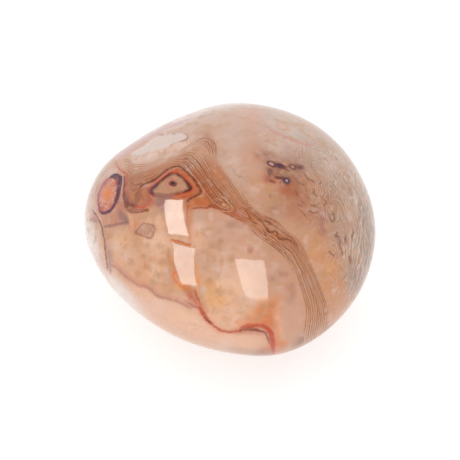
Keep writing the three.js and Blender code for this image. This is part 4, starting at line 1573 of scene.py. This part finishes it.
@dataclass(frozen=True)
class Skin:
    """Works out the soft colours of the stone, from the body colour up to the ribbon's ground, painted
    reflection and painted shade along the rim among them.

    The body is less mottled where it is calm.
    """

    base: Pigment = Pigment.RIBBON_PALE
    patches: tuple[Union[Clouds, Blots], ...] = (*CLOUDS, *BLOTS)
    ribbon_ground: Pigment = Pigment.TAN
    ribbon_patches: tuple[Clouds, ...] = RIBBON_CLOUDS
    ribbon_cover: float = 0.9
    calm: Clouds = Clouds(Pigment.BLUSH, (
        (195, 325, 13, 3.2, 22, 0.8), (150, 303, 8, 2.2, 40, 0.7), (250, 342, 4.5, 2.4, 0, 0.8),
        (254, 278, 3, 3.6, 0, 0.9), (178, 218, 2, 3.4, 0, 0.8), (186, 265, 2, 3.4, 0, 0.7),
        (288, 318, 3, 5.5, 10, 0.6), (238, 135, 4, 5.5, 0, 0.6), (294, 199, 2.4, 2, 30, 0.8),
    ))

    def mottling(self, seen: Seen) -> np.ndarray:
        """How mottled every vertex is.

        Args:
            seen: the stone's vertices.

        Returns:
            Shares from 0 to 1, the same in all three columns.
        """
        share = np.ones(len(seen.depth))
        for cloud in self.calm.clouds():
            share = share * (1 - cloud.weight(seen))
        return columns(share, share, share)

    def colours(self, seen: Seen, ribbon: np.ndarray) -> np.ndarray:
        """The mixed colour of every vertex.

        Args:
            seen: the stone's vertices.
            ribbon: how much of the ribbon's ground covers each, from 0 to 1.

        Returns:
            Linear red, green and blue, one row for each vertex.
        """
        body = self.clouded(self.base, self.patches, seen)
        ground = self.clouded(self.ribbon_ground, self.ribbon_patches, seen)
        cover = self.ribbon_cover * ribbon[:, None]
        return body * (1 - cover) + ground * cover

    def clouded(self, base: Pigment, patches: Iterable[Union[Clouds, Blots]], seen: Seen) -> np.ndarray:
        """One colour with its patches on it.

        Args:
            base: the colour below them.
            patches: the groups of patches, the lowest first.
            seen: the stone's vertices.

        Returns:
            Linear red, green and blue, one row for each vertex.
        """
        colour = np.tile(base.mixed(), (len(seen.depth), 1))
        for cloud in (cloud for group in patches for cloud in group.clouds()):
            weight = cloud.weight(seen)[:, None]
            colour = colour * (1 - weight) + cloud.pigment.mixed() * weight
        return colour


@dataclass(frozen=True)
class Ripples:
    """The fine wavy contour lines that cover parts of the stone like the lines of a map.

    They run round a middle in the picture, and over the rim at so many millimetres from it. Regions say where
    they show, and how strongly. They grow calmer between two distances from the left of the picture.
    """

    middle: tuple[float, float] = (205.0, 232.0)
    rim: float = 22.0
    calmer: tuple[float, float] = (340.0, 354.0)
    calming: float = 0.65
    regions: tuple[Clouds, ...] = (
        Clouds(Pigment.TAUPE, (
            (352, 190, 6, 9), (357, 250, 4.4, 9), (315, 160, 5, 3, 25, 0.9), (336, 212, 3.2, 4.5, -15, 0.8),
            (160, 312, 12, 3, 25, 0.25),
        )),
        Clouds(Pigment.TAUPE, ((230, 160, 10, 8, 30, 0.9), (150, 260, 7, 8, 0, 0.6)), Side.FAR),
    )

    def measure(self, seen: Seen) -> np.ndarray:
        """Where each vertex lies among the lines.

        Args:
            seen: the stone's vertices.

        Returns:
            How far out it is in millimetres, and on over the rim; how strongly the lines show; and how wildly
            they wave.
        """
        out = np.linalg.norm(seen.pixels - np.array(self.middle), axis=1) / EYE.pixels_per_mm
        out = np.where(seen.depth < 0, 2 * self.rim - out, out)
        shown = np.zeros(len(out))
        for region in (cloud for group in self.regions for cloud in group.clouds()):
            shown = np.maximum(shown, region.weight(seen))
        calm = eased(seen.pixels[:, 0], *self.calmer) * (seen.depth > 0)
        return columns(out, shown, 1 - self.calming * calm)


Number = Union["Num", float]


class Num:
    """A number that a material works out, so that shader maths reads as plain Python."""

    def __init__(self, bench: "NodeBench", socket: bpy.types.NodeSocket) -> None:
        """Wraps a node's output."""
        self.bench = bench
        self.socket = socket

    def __add__(self, other: Number) -> "Num":
        """This plus the other."""
        return self.bench.math("ADD", self, other)

    def __sub__(self, other: Number) -> "Num":
        """This less the other."""
        return self.bench.math("SUBTRACT", self, other)

    def __mul__(self, other: Number) -> "Num":
        """This times the other."""
        return self.bench.math("MULTIPLY", self, other)

    def __truediv__(self, other: Number) -> "Num":
        """This over the other."""
        return self.bench.math("DIVIDE", self, other)

    def __abs__(self) -> "Num":
        """This without its sign."""
        return self.bench.math("ABSOLUTE", self)


@dataclass(frozen=True)
class Noise:
    """Cloudy noise: how large its clouds are and how far it is moved, in millimetres, and how strong it is.

    Detail is how many finer layers it has.
    """

    size: float
    detail: float
    shift: float
    strength: float = 1.0


class NodeBench:
    """Lays out the nodes of one material."""

    def __init__(self, tree: bpy.types.NodeTree) -> None:
        """Clears the tree, and finds the place that every pattern is read from.

        Args:
            tree: the material's or the world's nodes.
        """
        self.tree = tree
        tree.nodes.clear()
        self.place = self.node("ShaderNodeTexCoord").outputs["Object"]

    def node(
        self,
        kind: str,
        settings: Union[dict[str, Any], None] = None,
        values: Union[dict[Union[int, str], Any], None] = None,
    ) -> bpy.types.Node:
        """Adds a node.

        Args:
            kind: its type.
            settings: its own settings, which are made first.
            values: what goes into its sockets, by name or number: a value, a socket or a worked-out number.

        Returns:
            The node.
        """
        made = self.tree.nodes.new(kind)
        for name, value in (settings or {}).items():
            setattr(made, name, value)
        for name, value in (values or {}).items():
            source = value.socket if isinstance(value, Num) else value
            if isinstance(source, bpy.types.NodeSocket):
                self.tree.links.new(source, made.inputs[name])
            else:
                made.inputs[name].default_value = source
        return made

    def math(self, operation: str, *values: Number) -> Num:
        """One step of maths on numbers."""
        made = self.node("ShaderNodeMath", {"operation": operation}, dict(enumerate(values)))
        return Num(self, made.outputs[0])

    def ramp(self, value: Number, low: Number, high: Number, start: Number = 0.0, end: Number = 1.0) -> Num:
        """Goes smoothly from start, where the value is low, to end, where it is high.

        Args:
            value: the number that steers it.
            low: where it starts to change.
            high: where it has changed.
            start: what it is up to low.
            end: what it is from high on.

        Returns:
            The number.
        """
        made = self.node(
            "ShaderNodeMapRange",
            {"interpolation_type": "SMOOTHSTEP", "clamp": False},
            {"Value": value, "From Min": low, "From Max": high, "To Min": start, "To Max": end},
        )
        return Num(self, made.outputs[0])

    def wave(self, turns: Number) -> Num:
        """A wave from -1 to 1 that is high at every whole turn."""
        return self.math("COSINE", turns * (2 * math.pi))

    def noise(self, *parts: Noise) -> Num:
        """Cloudy noise through the stone, from about -1 to 1 for a strength of 1.

        Args:
            parts: what it adds up from.

        Returns:
            The noise.
        """
        heard = []
        for part in parts:
            place = self.place
            if part.shift:
                moved = (part.shift * MM, -part.shift * MM, part.shift * MM)
                place = self.node("ShaderNodeMapping", {}, {"Vector": place, "Location": moved}).outputs[0]
            sockets = {"Vector": place, "Scale": 1 / (part.size * MM), "Detail": part.detail}
            made = self.node("ShaderNodeTexNoise", {}, sockets)
            heard.append((Num(self, made.outputs[0]) - NOISE_MIDDLE) * (NOISE_GAIN * part.strength))
        return sum(heard[1:], heard[0])

    def noise_along(self, value: Num, shift: float) -> Num:
        """Noise that changes with a number alone.

        Args:
            value: the number.
            shift: how far the pattern is moved along it.

        Returns:
            The noise, from about -1 to 1.
        """
        sockets = {"W": value + shift, "Scale": 1.0, "Detail": 0.0}
        made = self.node("ShaderNodeTexNoise", {"noise_dimensions": "1D"}, sockets)
        return (Num(self, made.outputs[0]) - NOISE_MIDDLE) * NOISE_GAIN

    def values(self, name: str) -> tuple[Num, Num, Num]:
        """The three numbers that the mesh keeps under a name."""
        parts = self.node("ShaderNodeSeparateColor", {}, {0: self.tint(name)})
        return Num(self, parts.outputs[0]), Num(self, parts.outputs[1]), Num(self, parts.outputs[2])

    def tint(self, name: str) -> bpy.types.NodeSocket:
        """The colour that the mesh keeps under a name."""
        return self.node("ShaderNodeAttribute", {"attribute_name": name}).outputs["Color"]

    def mix(self, under: Any, over: Any, share: Number) -> bpy.types.NodeSocket:
        """Lays one colour over another, where share is how much of the upper one shows."""
        made = self.node("ShaderNodeMix", {"data_type": "RGBA"}, {0: share, 6: under, 7: over})
        return made.outputs[2]


@dataclass(frozen=True)
class PolishedAgate:
    """Banded agate under a wet gloss: a glassy skin over slightly see-through stone.

    Lengths are in metres, but in millimetres where they are those of noise and markings. A ramp holds the two
    values between which it changes, and then what it is before the first and after the second.
    """

    slot: str = "agate"
    roughness: tuple[float, float] = (0.0245, 0.0525)
    smears: Noise = Noise(5.0, 2, 31)
    ior: float = 1.54
    mirror: float = 0.25
    glow: float = 0.12
    glow_reach: tuple[float, float, float] = (1.0, 0.45, 0.25)
    glow_scale: float = 0.0016
    dents: Noise = Noise(2.2, 1, 41)
    dent_strength: float = 0.05
    dent_depth: float = 0.00002
    # Pigments that mottle the body: their clouds' size, the noise between which they rise, their strength.
    clouding: tuple[tuple[Pigment, float, float, float, float], ...] = (
        (Pigment.SALMON_CLAY, 3.4, 0.0, 1.0, 0.45),
        (Pigment.COOL_TAUPE, 3.1, 0.0, 1.0, 0.4),
        (Pigment.OLIVE, 1.9, 0.0, 0.9, 0.6),
        (Pigment.PALE_BLUSH, 1.7, 0.1, 1.0, 0.45),
        (Pigment.CLAY, 1.0, 0.1, 0.8, 0.5),
        (Pigment.COOL_TAUPE, 0.9, 0.2, 1.0, 0.35),
        (Pigment.GREY_MAUVE, 0.6, 0.3, 1.0, 0.3),
    )
    clouding_shift: float = 7.0
    # How high a wave is where a line of it starts to show and where it shows best, and where a gap does.
    crest: tuple[float, float] = (0.1, 1.0)
    trough: tuple[float, float] = (-0.2, -1.0)
    # The ribbon's bands: how far they wave at rest and in unrest, and where they fade in patches.
    band_waves: Noise = Noise(1.7, 1, 5)
    band_rest: float = 0.16
    band_unrest: float = 0.8
    band_grain: Noise = Noise(0.6, 1, 9, 0.13)
    band_patches: Noise = Noise(2.2, 1, 23)
    band_patch_ramp: tuple[float, ...] = (-1.0, 0.1, 0.45, 1.0)
    # How often a band is uneven, strong or pale, and how far those three patterns lie apart.
    band_beats: tuple[float, float, float] = (0.7, 1.2, 1.1)
    band_apart: float = 20.0
    band_uneven: float = 0.22
    band_weight_ramp: tuple[float, ...] = (-0.8, 0.5, 0.3, 1.0)
    band_gap_ramp: tuple[float, float] = (-0.1, 0.9)
    band_pale: float = 0.4
    band_dark: float = 0.8
    # Finer bands between the bands: how many for one, the bands' pitch between which they show, their shift.
    band_splits: tuple[tuple[float, float, float, float], ...] = (
        (1.0, -1.0, -0.5, 3.0), (2.0, 0.42, 0.62, 23.0), (4.0, 0.95, 1.3, 43.0),
    )
    # The contour lines: how they wave, how far apart they are, and their colours.
    ripple_waves: tuple[Noise, ...] = (Noise(4.2, 1, 51, 1.6), Noise(1.5, 1, 57, 0.42))
    ripple_grain: Noise = Noise(0.6, 0, 61, 0.07)
    ripple_patches: Noise = Noise(2.2, 1, 67)
    ripple_patch_ramp: tuple[float, ...] = (-0.7, 0.7, 0.15, 1.0)
    ripple_spread: float = 0.85
    ripple_pitch: float = 0.46
    ripple_pale: float = 0.3
    ripple_dark: float = 0.42
    # The drawn lines: what moves them, frays their edges and breaks them up, the share of their softness that
    # lies inside their edge, and how far in and how strongly they bleed.
    ink_shake: tuple[Noise, ...] = (Noise(1.1, 1, 0, 0.08), Noise(0.4, 1, 13, 0.048))
    ink_fray: tuple[Noise, ...] = (Noise(0.8, 1, 17, 0.06), Noise(0.35, 0, 29, 0.035))
    ink_grain: tuple[Noise, ...] = (Noise(0.42, 1, 37), Noise(1.5, 1, 11, 0.4))
    ink_grain_ramp: tuple[float, ...] = (-0.55, 0.55, -0.5, 0.5)
    ink_soft_inside: float = 0.8
    ink_bleed_start: float = 0.1
    ink_bleed: float = 0.45
    # The spots: what bends their outlines, and how far from one its dark edge starts and stops to fade.
    spot_warp: Noise = Noise(0.7, 1, 0, 0.1)
    spot_edge_full: float = 0.03
    spot_edge_gone: float = 0.07

    def build(self, bleeding: list[bool], spots: int) -> bpy.types.Material:
        """Makes the material.

        Args:
            bleeding: for every layer of drawn lines that the mesh keeps, whether any of them bleeds.
            spots: how many layers of small round marks the mesh keeps.

        Returns:
            The material.
        """
        material = bpy.data.materials.new(self.slot)
        material.use_nodes = True
        bench = NodeBench(material.node_tree)
        colour = self.mottle(bench, bench.tint("body_colour"))
        colour = self.ribbon(bench, colour)
        colour = self.ripples(bench, colour)
        shake, fray = bench.noise(*self.ink_shake), bench.noise(*self.ink_fray)
        grain = bench.ramp(bench.noise(*self.ink_grain), *self.ink_grain_ramp)
        for layer, bleeds in enumerate(bleeding):
            colour = self.inks(bench, colour, layer, bleeds, (shake, fray, grain))
        warp = bench.noise(self.spot_warp)
        for layer in range(spots):
            colour = self.spots(bench, colour, layer, warp)
        bump = bench.node("ShaderNodeBump", {}, {
            "Strength": self.dent_strength,
            "Distance": self.dent_depth,
            "Height": bench.noise(self.dents),
        })
        shader = bench.node("ShaderNodeBsdfPrincipled", {}, {
            "Base Color": colour,
            "Roughness": bench.ramp(bench.noise(self.smears), -1, 1, *self.roughness),
            "IOR": self.ior,
            "Specular IOR Level": self.mirror,
            "Subsurface Weight": self.glow,
            "Subsurface Radius": self.glow_reach,
            "Subsurface Scale": self.glow_scale,
            "Normal": bump.outputs[0],
        })
        bench.node("ShaderNodeOutputMaterial", {}, {"Surface": shader.outputs[0]})
        return material

    def mottle(self, bench: NodeBench, colour: Any) -> Any:
        """Lays clouds and grains of slightly other colour all over the stone.

        Args:
            bench: the material's nodes.
            colour: the colour below.

        Returns:
            The colour.
        """
        mottled, _, _ = bench.values("mottling")
        for pigment, size, low, high, strength in self.clouding:
            noise = bench.noise(Noise(size, 1, size * self.clouding_shift))
            colour = bench.mix(colour, pigment.rgba(), bench.ramp(noise, low, high, 0, strength) * mottled)
        return colour

    def ribbon(self, bench: NodeBench, colour: Any) -> Any:
        """Lays the fine bands of the ribbon, with more of them where it is wide.

        Args:
            bench: the material's nodes.
            colour: the colour below.

        Returns:
            The colour.
        """
        count, unrest, there = bench.values("ribbon")
        pitch, loud, _ = bench.values("band_pitch")
        waves = bench.noise(self.band_waves) * (unrest * self.band_unrest + self.band_rest)
        count = count + (waves + bench.noise(self.band_grain))
        patch = bench.ramp(bench.noise(self.band_patches), *self.band_patch_ramp) * there * loud
        for split, low, high, shift in self.band_splits:
            lines = count * split
            uneven, strong, gappy = (
                bench.noise_along(lines * beat, shift + step * self.band_apart)
                for step, beat in enumerate(self.band_beats)
            )
            swing = bench.wave(lines + uneven * self.band_uneven)
            weight = bench.ramp(strong, *self.band_weight_ramp) * patch * bench.ramp(pitch, low, high)
            gaps = bench.ramp(gappy, *self.band_gap_ramp)
            pale = bench.ramp(swing, *self.trough) * gaps * weight * self.band_pale
            dark = bench.ramp(swing, *self.crest) * weight * self.band_dark
            colour = bench.mix(colour, Pigment.SAND.rgba(), pale)
            colour = bench.mix(colour, Pigment.SIENNA_DARK.rgba(), dark)
        return colour

    def ripples(self, bench: NodeBench, colour: Any) -> Any:
        """Lays the wavy contour lines.

        Args:
            bench: the material's nodes.
            colour: the colour below.

        Returns:
            The colour.
        """
        out, shown, wild = bench.values("ripples")
        waves = bench.noise(*self.ripple_waves) * wild + bench.noise(self.ripple_grain)
        swing = bench.wave((out * self.ripple_spread + waves) / self.ripple_pitch)
        patch = bench.ramp(bench.noise(self.ripple_patches), *self.ripple_patch_ramp) * shown
        pale = bench.ramp(swing, *self.crest, 0, self.ripple_pale) * patch
        dark = bench.ramp(swing, *self.trough, 0, self.ripple_dark) * patch
        colour = bench.mix(colour, Pigment.RIM_WHITE.rgba(), pale)
        return bench.mix(colour, Pigment.GREY_UMBER.rgba(), dark)

    def inks(
        self, bench: NodeBench, colour: Any, layer: int, bleeds: bool, noises: tuple[Num, Num, Num]
    ) -> Any:
        """Lays one layer of drawn lines.

        Args:
            bench: the material's nodes.
            colour: the colour below.
            layer: the layer's number.
            bleeds: whether any of its lines bleeds.
            noises: what shakes, frays and grains them.

        Returns:
            The colour.
        """
        shake, fray, grain = noises
        away, half, soft = bench.values(f"ink_line_{layer}")
        plain, grained, bleed = bench.values(f"ink_look_{layer}")
        inside = half + fray - abs(away + shake)
        cover = bench.ramp(inside, soft * -SOFT_OUTSIDE, soft * self.ink_soft_inside)
        if bleeds:
            run_out = bench.ramp(inside, bleed * -1.0, self.ink_bleed_start, 0.0, self.ink_bleed)
            cover = bench.math("MAXIMUM", cover, run_out)
        strength = bench.math("MULTIPLY_ADD", grained, grain, plain)
        return bench.mix(colour, bench.tint(f"ink_colour_{layer}"), cover * strength)

    def spots(self, bench: NodeBench, colour: Any, layer: int, warp: Num) -> Any:
        """Lays one layer of small round marks.

        Args:
            bench: the material's nodes.
            colour: the colour below.
            layer: the layer's number.
            warp: what bends their outlines.

        Returns:
            The colour.
        """
        across, high, size = bench.values(f"spot_place_{layer}")
        strength, fill, soft = bench.values(f"spot_look_{layer}")
        away = (bench.math("SQRT", across * across + high * high) - 1) * size + warp
        core = bench.ramp(away, soft * -1.0, 0.0, 1.0, 0.0) * fill
        colour = bench.mix(colour, bench.tint(f"spot_core_{layer}"), core)
        edge = bench.ramp(abs(away), self.spot_edge_full, soft + self.spot_edge_gone, 1.0, 0.0) * strength
        return bench.mix(colour, bench.tint(f"spot_edge_{layer}"), edge)


def only(thing: bpy.types.Object) -> None:
    """Selects one object alone and makes it the active one.

    Args:
        thing: the object.
    """
    bpy.ops.object.select_all(action="DESELECT")
    thing.select_set(True)
    bpy.context.view_layer.objects.active = thing


@dataclass
class PolishedStone:
    """The stone itself: the CAD solid's own form, made finer and smooth, with every marking on its mesh.

    Lengths are in metres. Swell is how high the slightest waves of hand polishing are.
    """

    node: str = "tumbled_stone"
    name: str = "polished_stone"
    body: str = "root"
    slot: str = "agate"
    merge: float = 1e-6
    levels: int = 2
    swell: float = 0.00005
    swell_size: float = 0.009
    finish: PolishedAgate = field(default_factory=PolishedAgate)

    def build(self) -> bpy.types.Object:
        """Models the stone, measures its markings and polishes it.

        Returns:
            The finished piece.
        """
        stone = self.form()
        bleeding, spots = self.mark(stone)
        stone.data.materials.clear()
        stone.data.materials.append(self.finish.build(bleeding, spots))
        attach(stone, self.body)
        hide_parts(self.node)
        return stone

    def form(self) -> bpy.types.Object:
        """Makes a fine smooth mesh from a copy of the CAD solid.

        Returns:
            The stone without its markings.
        """
        only(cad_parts[self.node])
        bpy.ops.object.duplicate()
        stone = bpy.context.object
        stone.name = self.name
        stone.parent = None
        for key in list(stone.keys()):
            del stone[key]
        bpy.ops.object.mode_set(mode="EDIT")
        bpy.ops.mesh.select_all(action="SELECT")
        bpy.ops.mesh.remove_doubles(threshold=self.merge)
        bpy.ops.mesh.tris_convert_to_quads()
        bpy.ops.object.mode_set(mode="OBJECT")
        smooth = stone.modifiers.new("smooth", "SUBSURF")
        smooth.levels = smooth.render_levels = self.levels
        bpy.ops.object.modifier_apply(modifier=smooth.name)
        pattern = bpy.data.textures.new("polish_waves", "CLOUDS")
        pattern.noise_scale = self.swell_size
        waves = stone.modifiers.new("waves", "DISPLACE")
        waves.texture = pattern
        waves.strength = self.swell
        waves.mid_level = 0.5
        bpy.ops.object.modifier_apply(modifier=waves.name)
        bpy.ops.object.shade_smooth()
        return stone

    def mark(self, stone: bpy.types.Object) -> tuple[list[bool], int]:
        """Keeps on the mesh where every vertex lies among the markings.

        Args:
            stone: the finely meshed stone.

        Returns:
            For every layer of drawn lines, whether any of them bleeds; and the number of layers of spots.
        """
        flat = np.empty(len(stone.data.vertices) * 3)
        stone.data.vertices.foreach_get("co", flat)
        seen = EYE.sees(flat.reshape(-1, 3))
        ribbon, pitch = RIBBON.measure(seen)
        self.keep(stone, "ribbon", ribbon)
        self.keep(stone, "band_pitch", pitch)
        self.keep(stone, "ripples", Ripples().measure(seen))
        self.keep(stone, "body_colour", Skin().colours(seen, ribbon[:, 2]))
        self.keep(stone, "mottling", Skin().mottling(seen))
        inks = InkLayers()
        for line in (*GROUNDS, *(line for group in THREADS for line in group.lines()), *LINES):
            LOG.debug("%s drawn", line.name)
            for stroke in line.strokes(seen):
                inks.lay(stroke)
        for index, layer in enumerate(inks.layers):
            for name, rows in zip(("line", "look", "colour"), inks.rows(layer)):
                self.keep(stone, f"ink_{name}_{index}", rows)
        spots = spot_layers(SPOTS, seen)
        for index, layer in enumerate(spots):
            for name, rows in zip(("place", "look", "edge", "core"), layer):
                self.keep(stone, f"spot_{name}_{index}", rows)
        LOG.info("%d layers of lines, %d layers of spots", len(inks.layers), len(spots))
        return [any(stroke.coat.bleed for stroke in layer) for layer in inks.layers], len(spots)

    def keep(self, stone: bpy.types.Object, name: str, rows: np.ndarray) -> None:
        """Stores three numbers for every vertex under a name."""
        stored = stone.data.attributes.new(name, "FLOAT_VECTOR", "POINT")
        stored.data.foreach_set("vector", np.ascontiguousarray(rows, dtype=np.float32).ravel())


@dataclass(frozen=True)
class Softbox:
    """A studio light that the polish mirrors between four pixels of the photograph.

    It hangs so many metres away, and fades at its foot over a share of its height.
    """

    name: str
    corners: tuple[tuple[float, float], ...]
    radiance: float
    fade: float = 0.06
    foot: float = 0.2
    away: float = 0.8
    colour: tuple[float, float, float, float] = (1.0, 0.98, 0.96, 1.0)

    # The plane's own corners, in the order in which the picture's go round.
    ORDER = (0, 1, 3, 2)

    def build(self, stone: bpy.types.Object) -> bpy.types.Object:
        """Hangs the light where the eye sees it in the stone.

        Args:
            stone: the finished stone.

        Returns:
            The light's panel.
        """
        tree = BVHTree.FromObject(stone, bpy.context.evaluated_depsgraph_get())
        bpy.ops.mesh.primitive_plane_add(size=1)
        panel = bpy.context.object
        panel.name = self.name
        for index, pixel in zip(self.ORDER, self.corners):
            start, way = EYE.ray(pixel)
            hit, normal = self.facing(stone, tree, start, way)
            mirrored = way - 2 * way.dot(normal) * normal
            panel.data.vertices[index].co = hit + mirrored * self.away
        panel.data.materials.append(self.shine())
        panel.visible_camera = panel.visible_diffuse = panel.visible_shadow = False
        panel.visible_transmission = panel.visible_volume_scatter = False
        panel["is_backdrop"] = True
        return panel

    def facing(
        self, stone: bpy.types.Object, tree: BVHTree, start: Vector, way: Vector
    ) -> tuple[Vector, Vector]:
        """Where a line of sight meets the stone.

        Args:
            stone: the finished stone.
            tree: its surface, to search.
            start: where the line starts.
            way: its direction.

        Returns:
            The place, and the way the smooth surface looks there.
        """
        hit, _, index, _ = tree.ray_cast(start, way)
        normal = Vector((0, 0, 0))
        for corner in stone.data.polygons[index].vertices:
            vertex = stone.data.vertices[corner]
            normal += vertex.normal / ((vertex.co - hit).length + TINY)
        return hit, normal.normalized()

    def shine(self) -> bpy.types.Material:
        """Makes the panel's own light.

        Returns:
            Its material.
        """
        material = bpy.data.materials.new(self.name)
        material.use_nodes = True
        bench = NodeBench(material.node_tree)
        _, down, _ = bench.values("UVMap")
        strength = bench.ramp(down, 1 - self.fade, 1, self.radiance, self.foot * self.radiance)
        light = bench.node("ShaderNodeEmission", {}, {"Color": self.colour, "Strength": strength})
        bench.node("ShaderNodeOutputMaterial", {}, {"Surface": light.outputs[0]})
        return material


SOFTBOXES = (
    Softbox("window_top", ((165.7, 199.8), (183.4, 200.4), (188.6, 236.2), (169.3, 235.3)), 17.2),
    Softbox("window_middle", ((172.3, 241.8), (195.4, 248.7), (197.7, 286.4), (182, 284.6)), 12, 0.04),
    Softbox("window_right", ((235.5, 258.9), (263.4, 260), (268.4, 301.2), (247, 299.6)), 10.1, 0.17),
)


@dataclass
class Studio:
    """A white room: a pale floor, soft light from everywhere, and the softboxes. Lengths are in metres."""

    floor_size: float = 6.0
    floor_colour: tuple[float, float, float, float] = (0.5, 0.5, 0.5, 1.0)
    floor_roughness: float = 0.9
    floor_ior: float = 1.3
    floor_light: float = 0.6
    light: float = 1.12
    white: tuple[float, float, float, float] = (1.0, 1.0, 1.0, 1.0)

    def build(self, stone: bpy.types.Object) -> None:
        """Sets up the room round the stone.

        Args:
            stone: the finished stone.
        """
        bpy.context.scene.view_settings.view_transform = "Standard"
        self.floor()
        self.room()
        for box in SOFTBOXES:
            box.build(stone)
            LOG.info("softbox %s hung", box.name)
        EYE.build()

    def floor(self) -> bpy.types.Object:
        """Lays the pale floor that the stone lies on.

        Returns:
            The floor.
        """
        bpy.ops.mesh.primitive_plane_add(size=self.floor_size)
        floor = bpy.context.object
        floor.name = "floor"
        material = bpy.data.materials.new("pale_floor")
        material.use_nodes = True
        bench = NodeBench(material.node_tree)
        matt = bench.node("ShaderNodeBsdfPrincipled", {}, {
            "Base Color": self.floor_colour,
            "Roughness": self.floor_roughness,
            "IOR": self.floor_ior,
            "Emission Color": self.white,
            "Emission Strength": self.floor_light,
        })
        bench.node("ShaderNodeOutputMaterial", {}, {"Surface": matt.outputs[0]})
        floor.data.materials.append(material)
        floor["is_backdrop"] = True
        return floor

    def room(self) -> None:
        """Fills the room with even white light from every side."""
        world = bpy.data.worlds.new("white_room")
        world.use_nodes = True
        bench = NodeBench(world.node_tree)
        glow = bench.node("ShaderNodeBackground", {}, {"Color": self.white, "Strength": self.light})
        bench.node("ShaderNodeOutputWorld", {}, {"Surface": glow.outputs[0]})
        bpy.context.scene.world = world


def write_size() -> None:
    """Works out the CAD model's box and the dressed model's box."""
    boxes = {"cad": CAD_BOX, "scene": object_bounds()}
    plain = {name: [list(corner) for corner in box] for name, box in boxes.items()}


def main() -> None:
    """Builds the stone and its studio."""
    logging.basicConfig(level=logging.INFO, format="%(name)s: %(message)s")
    stone = PolishedStone().build()
    LOG.info("%s: %d faces", stone.name, len(stone.data.polygons))
    Studio().build(stone)
    write_size()


if __name__ == "__main__":
    main()
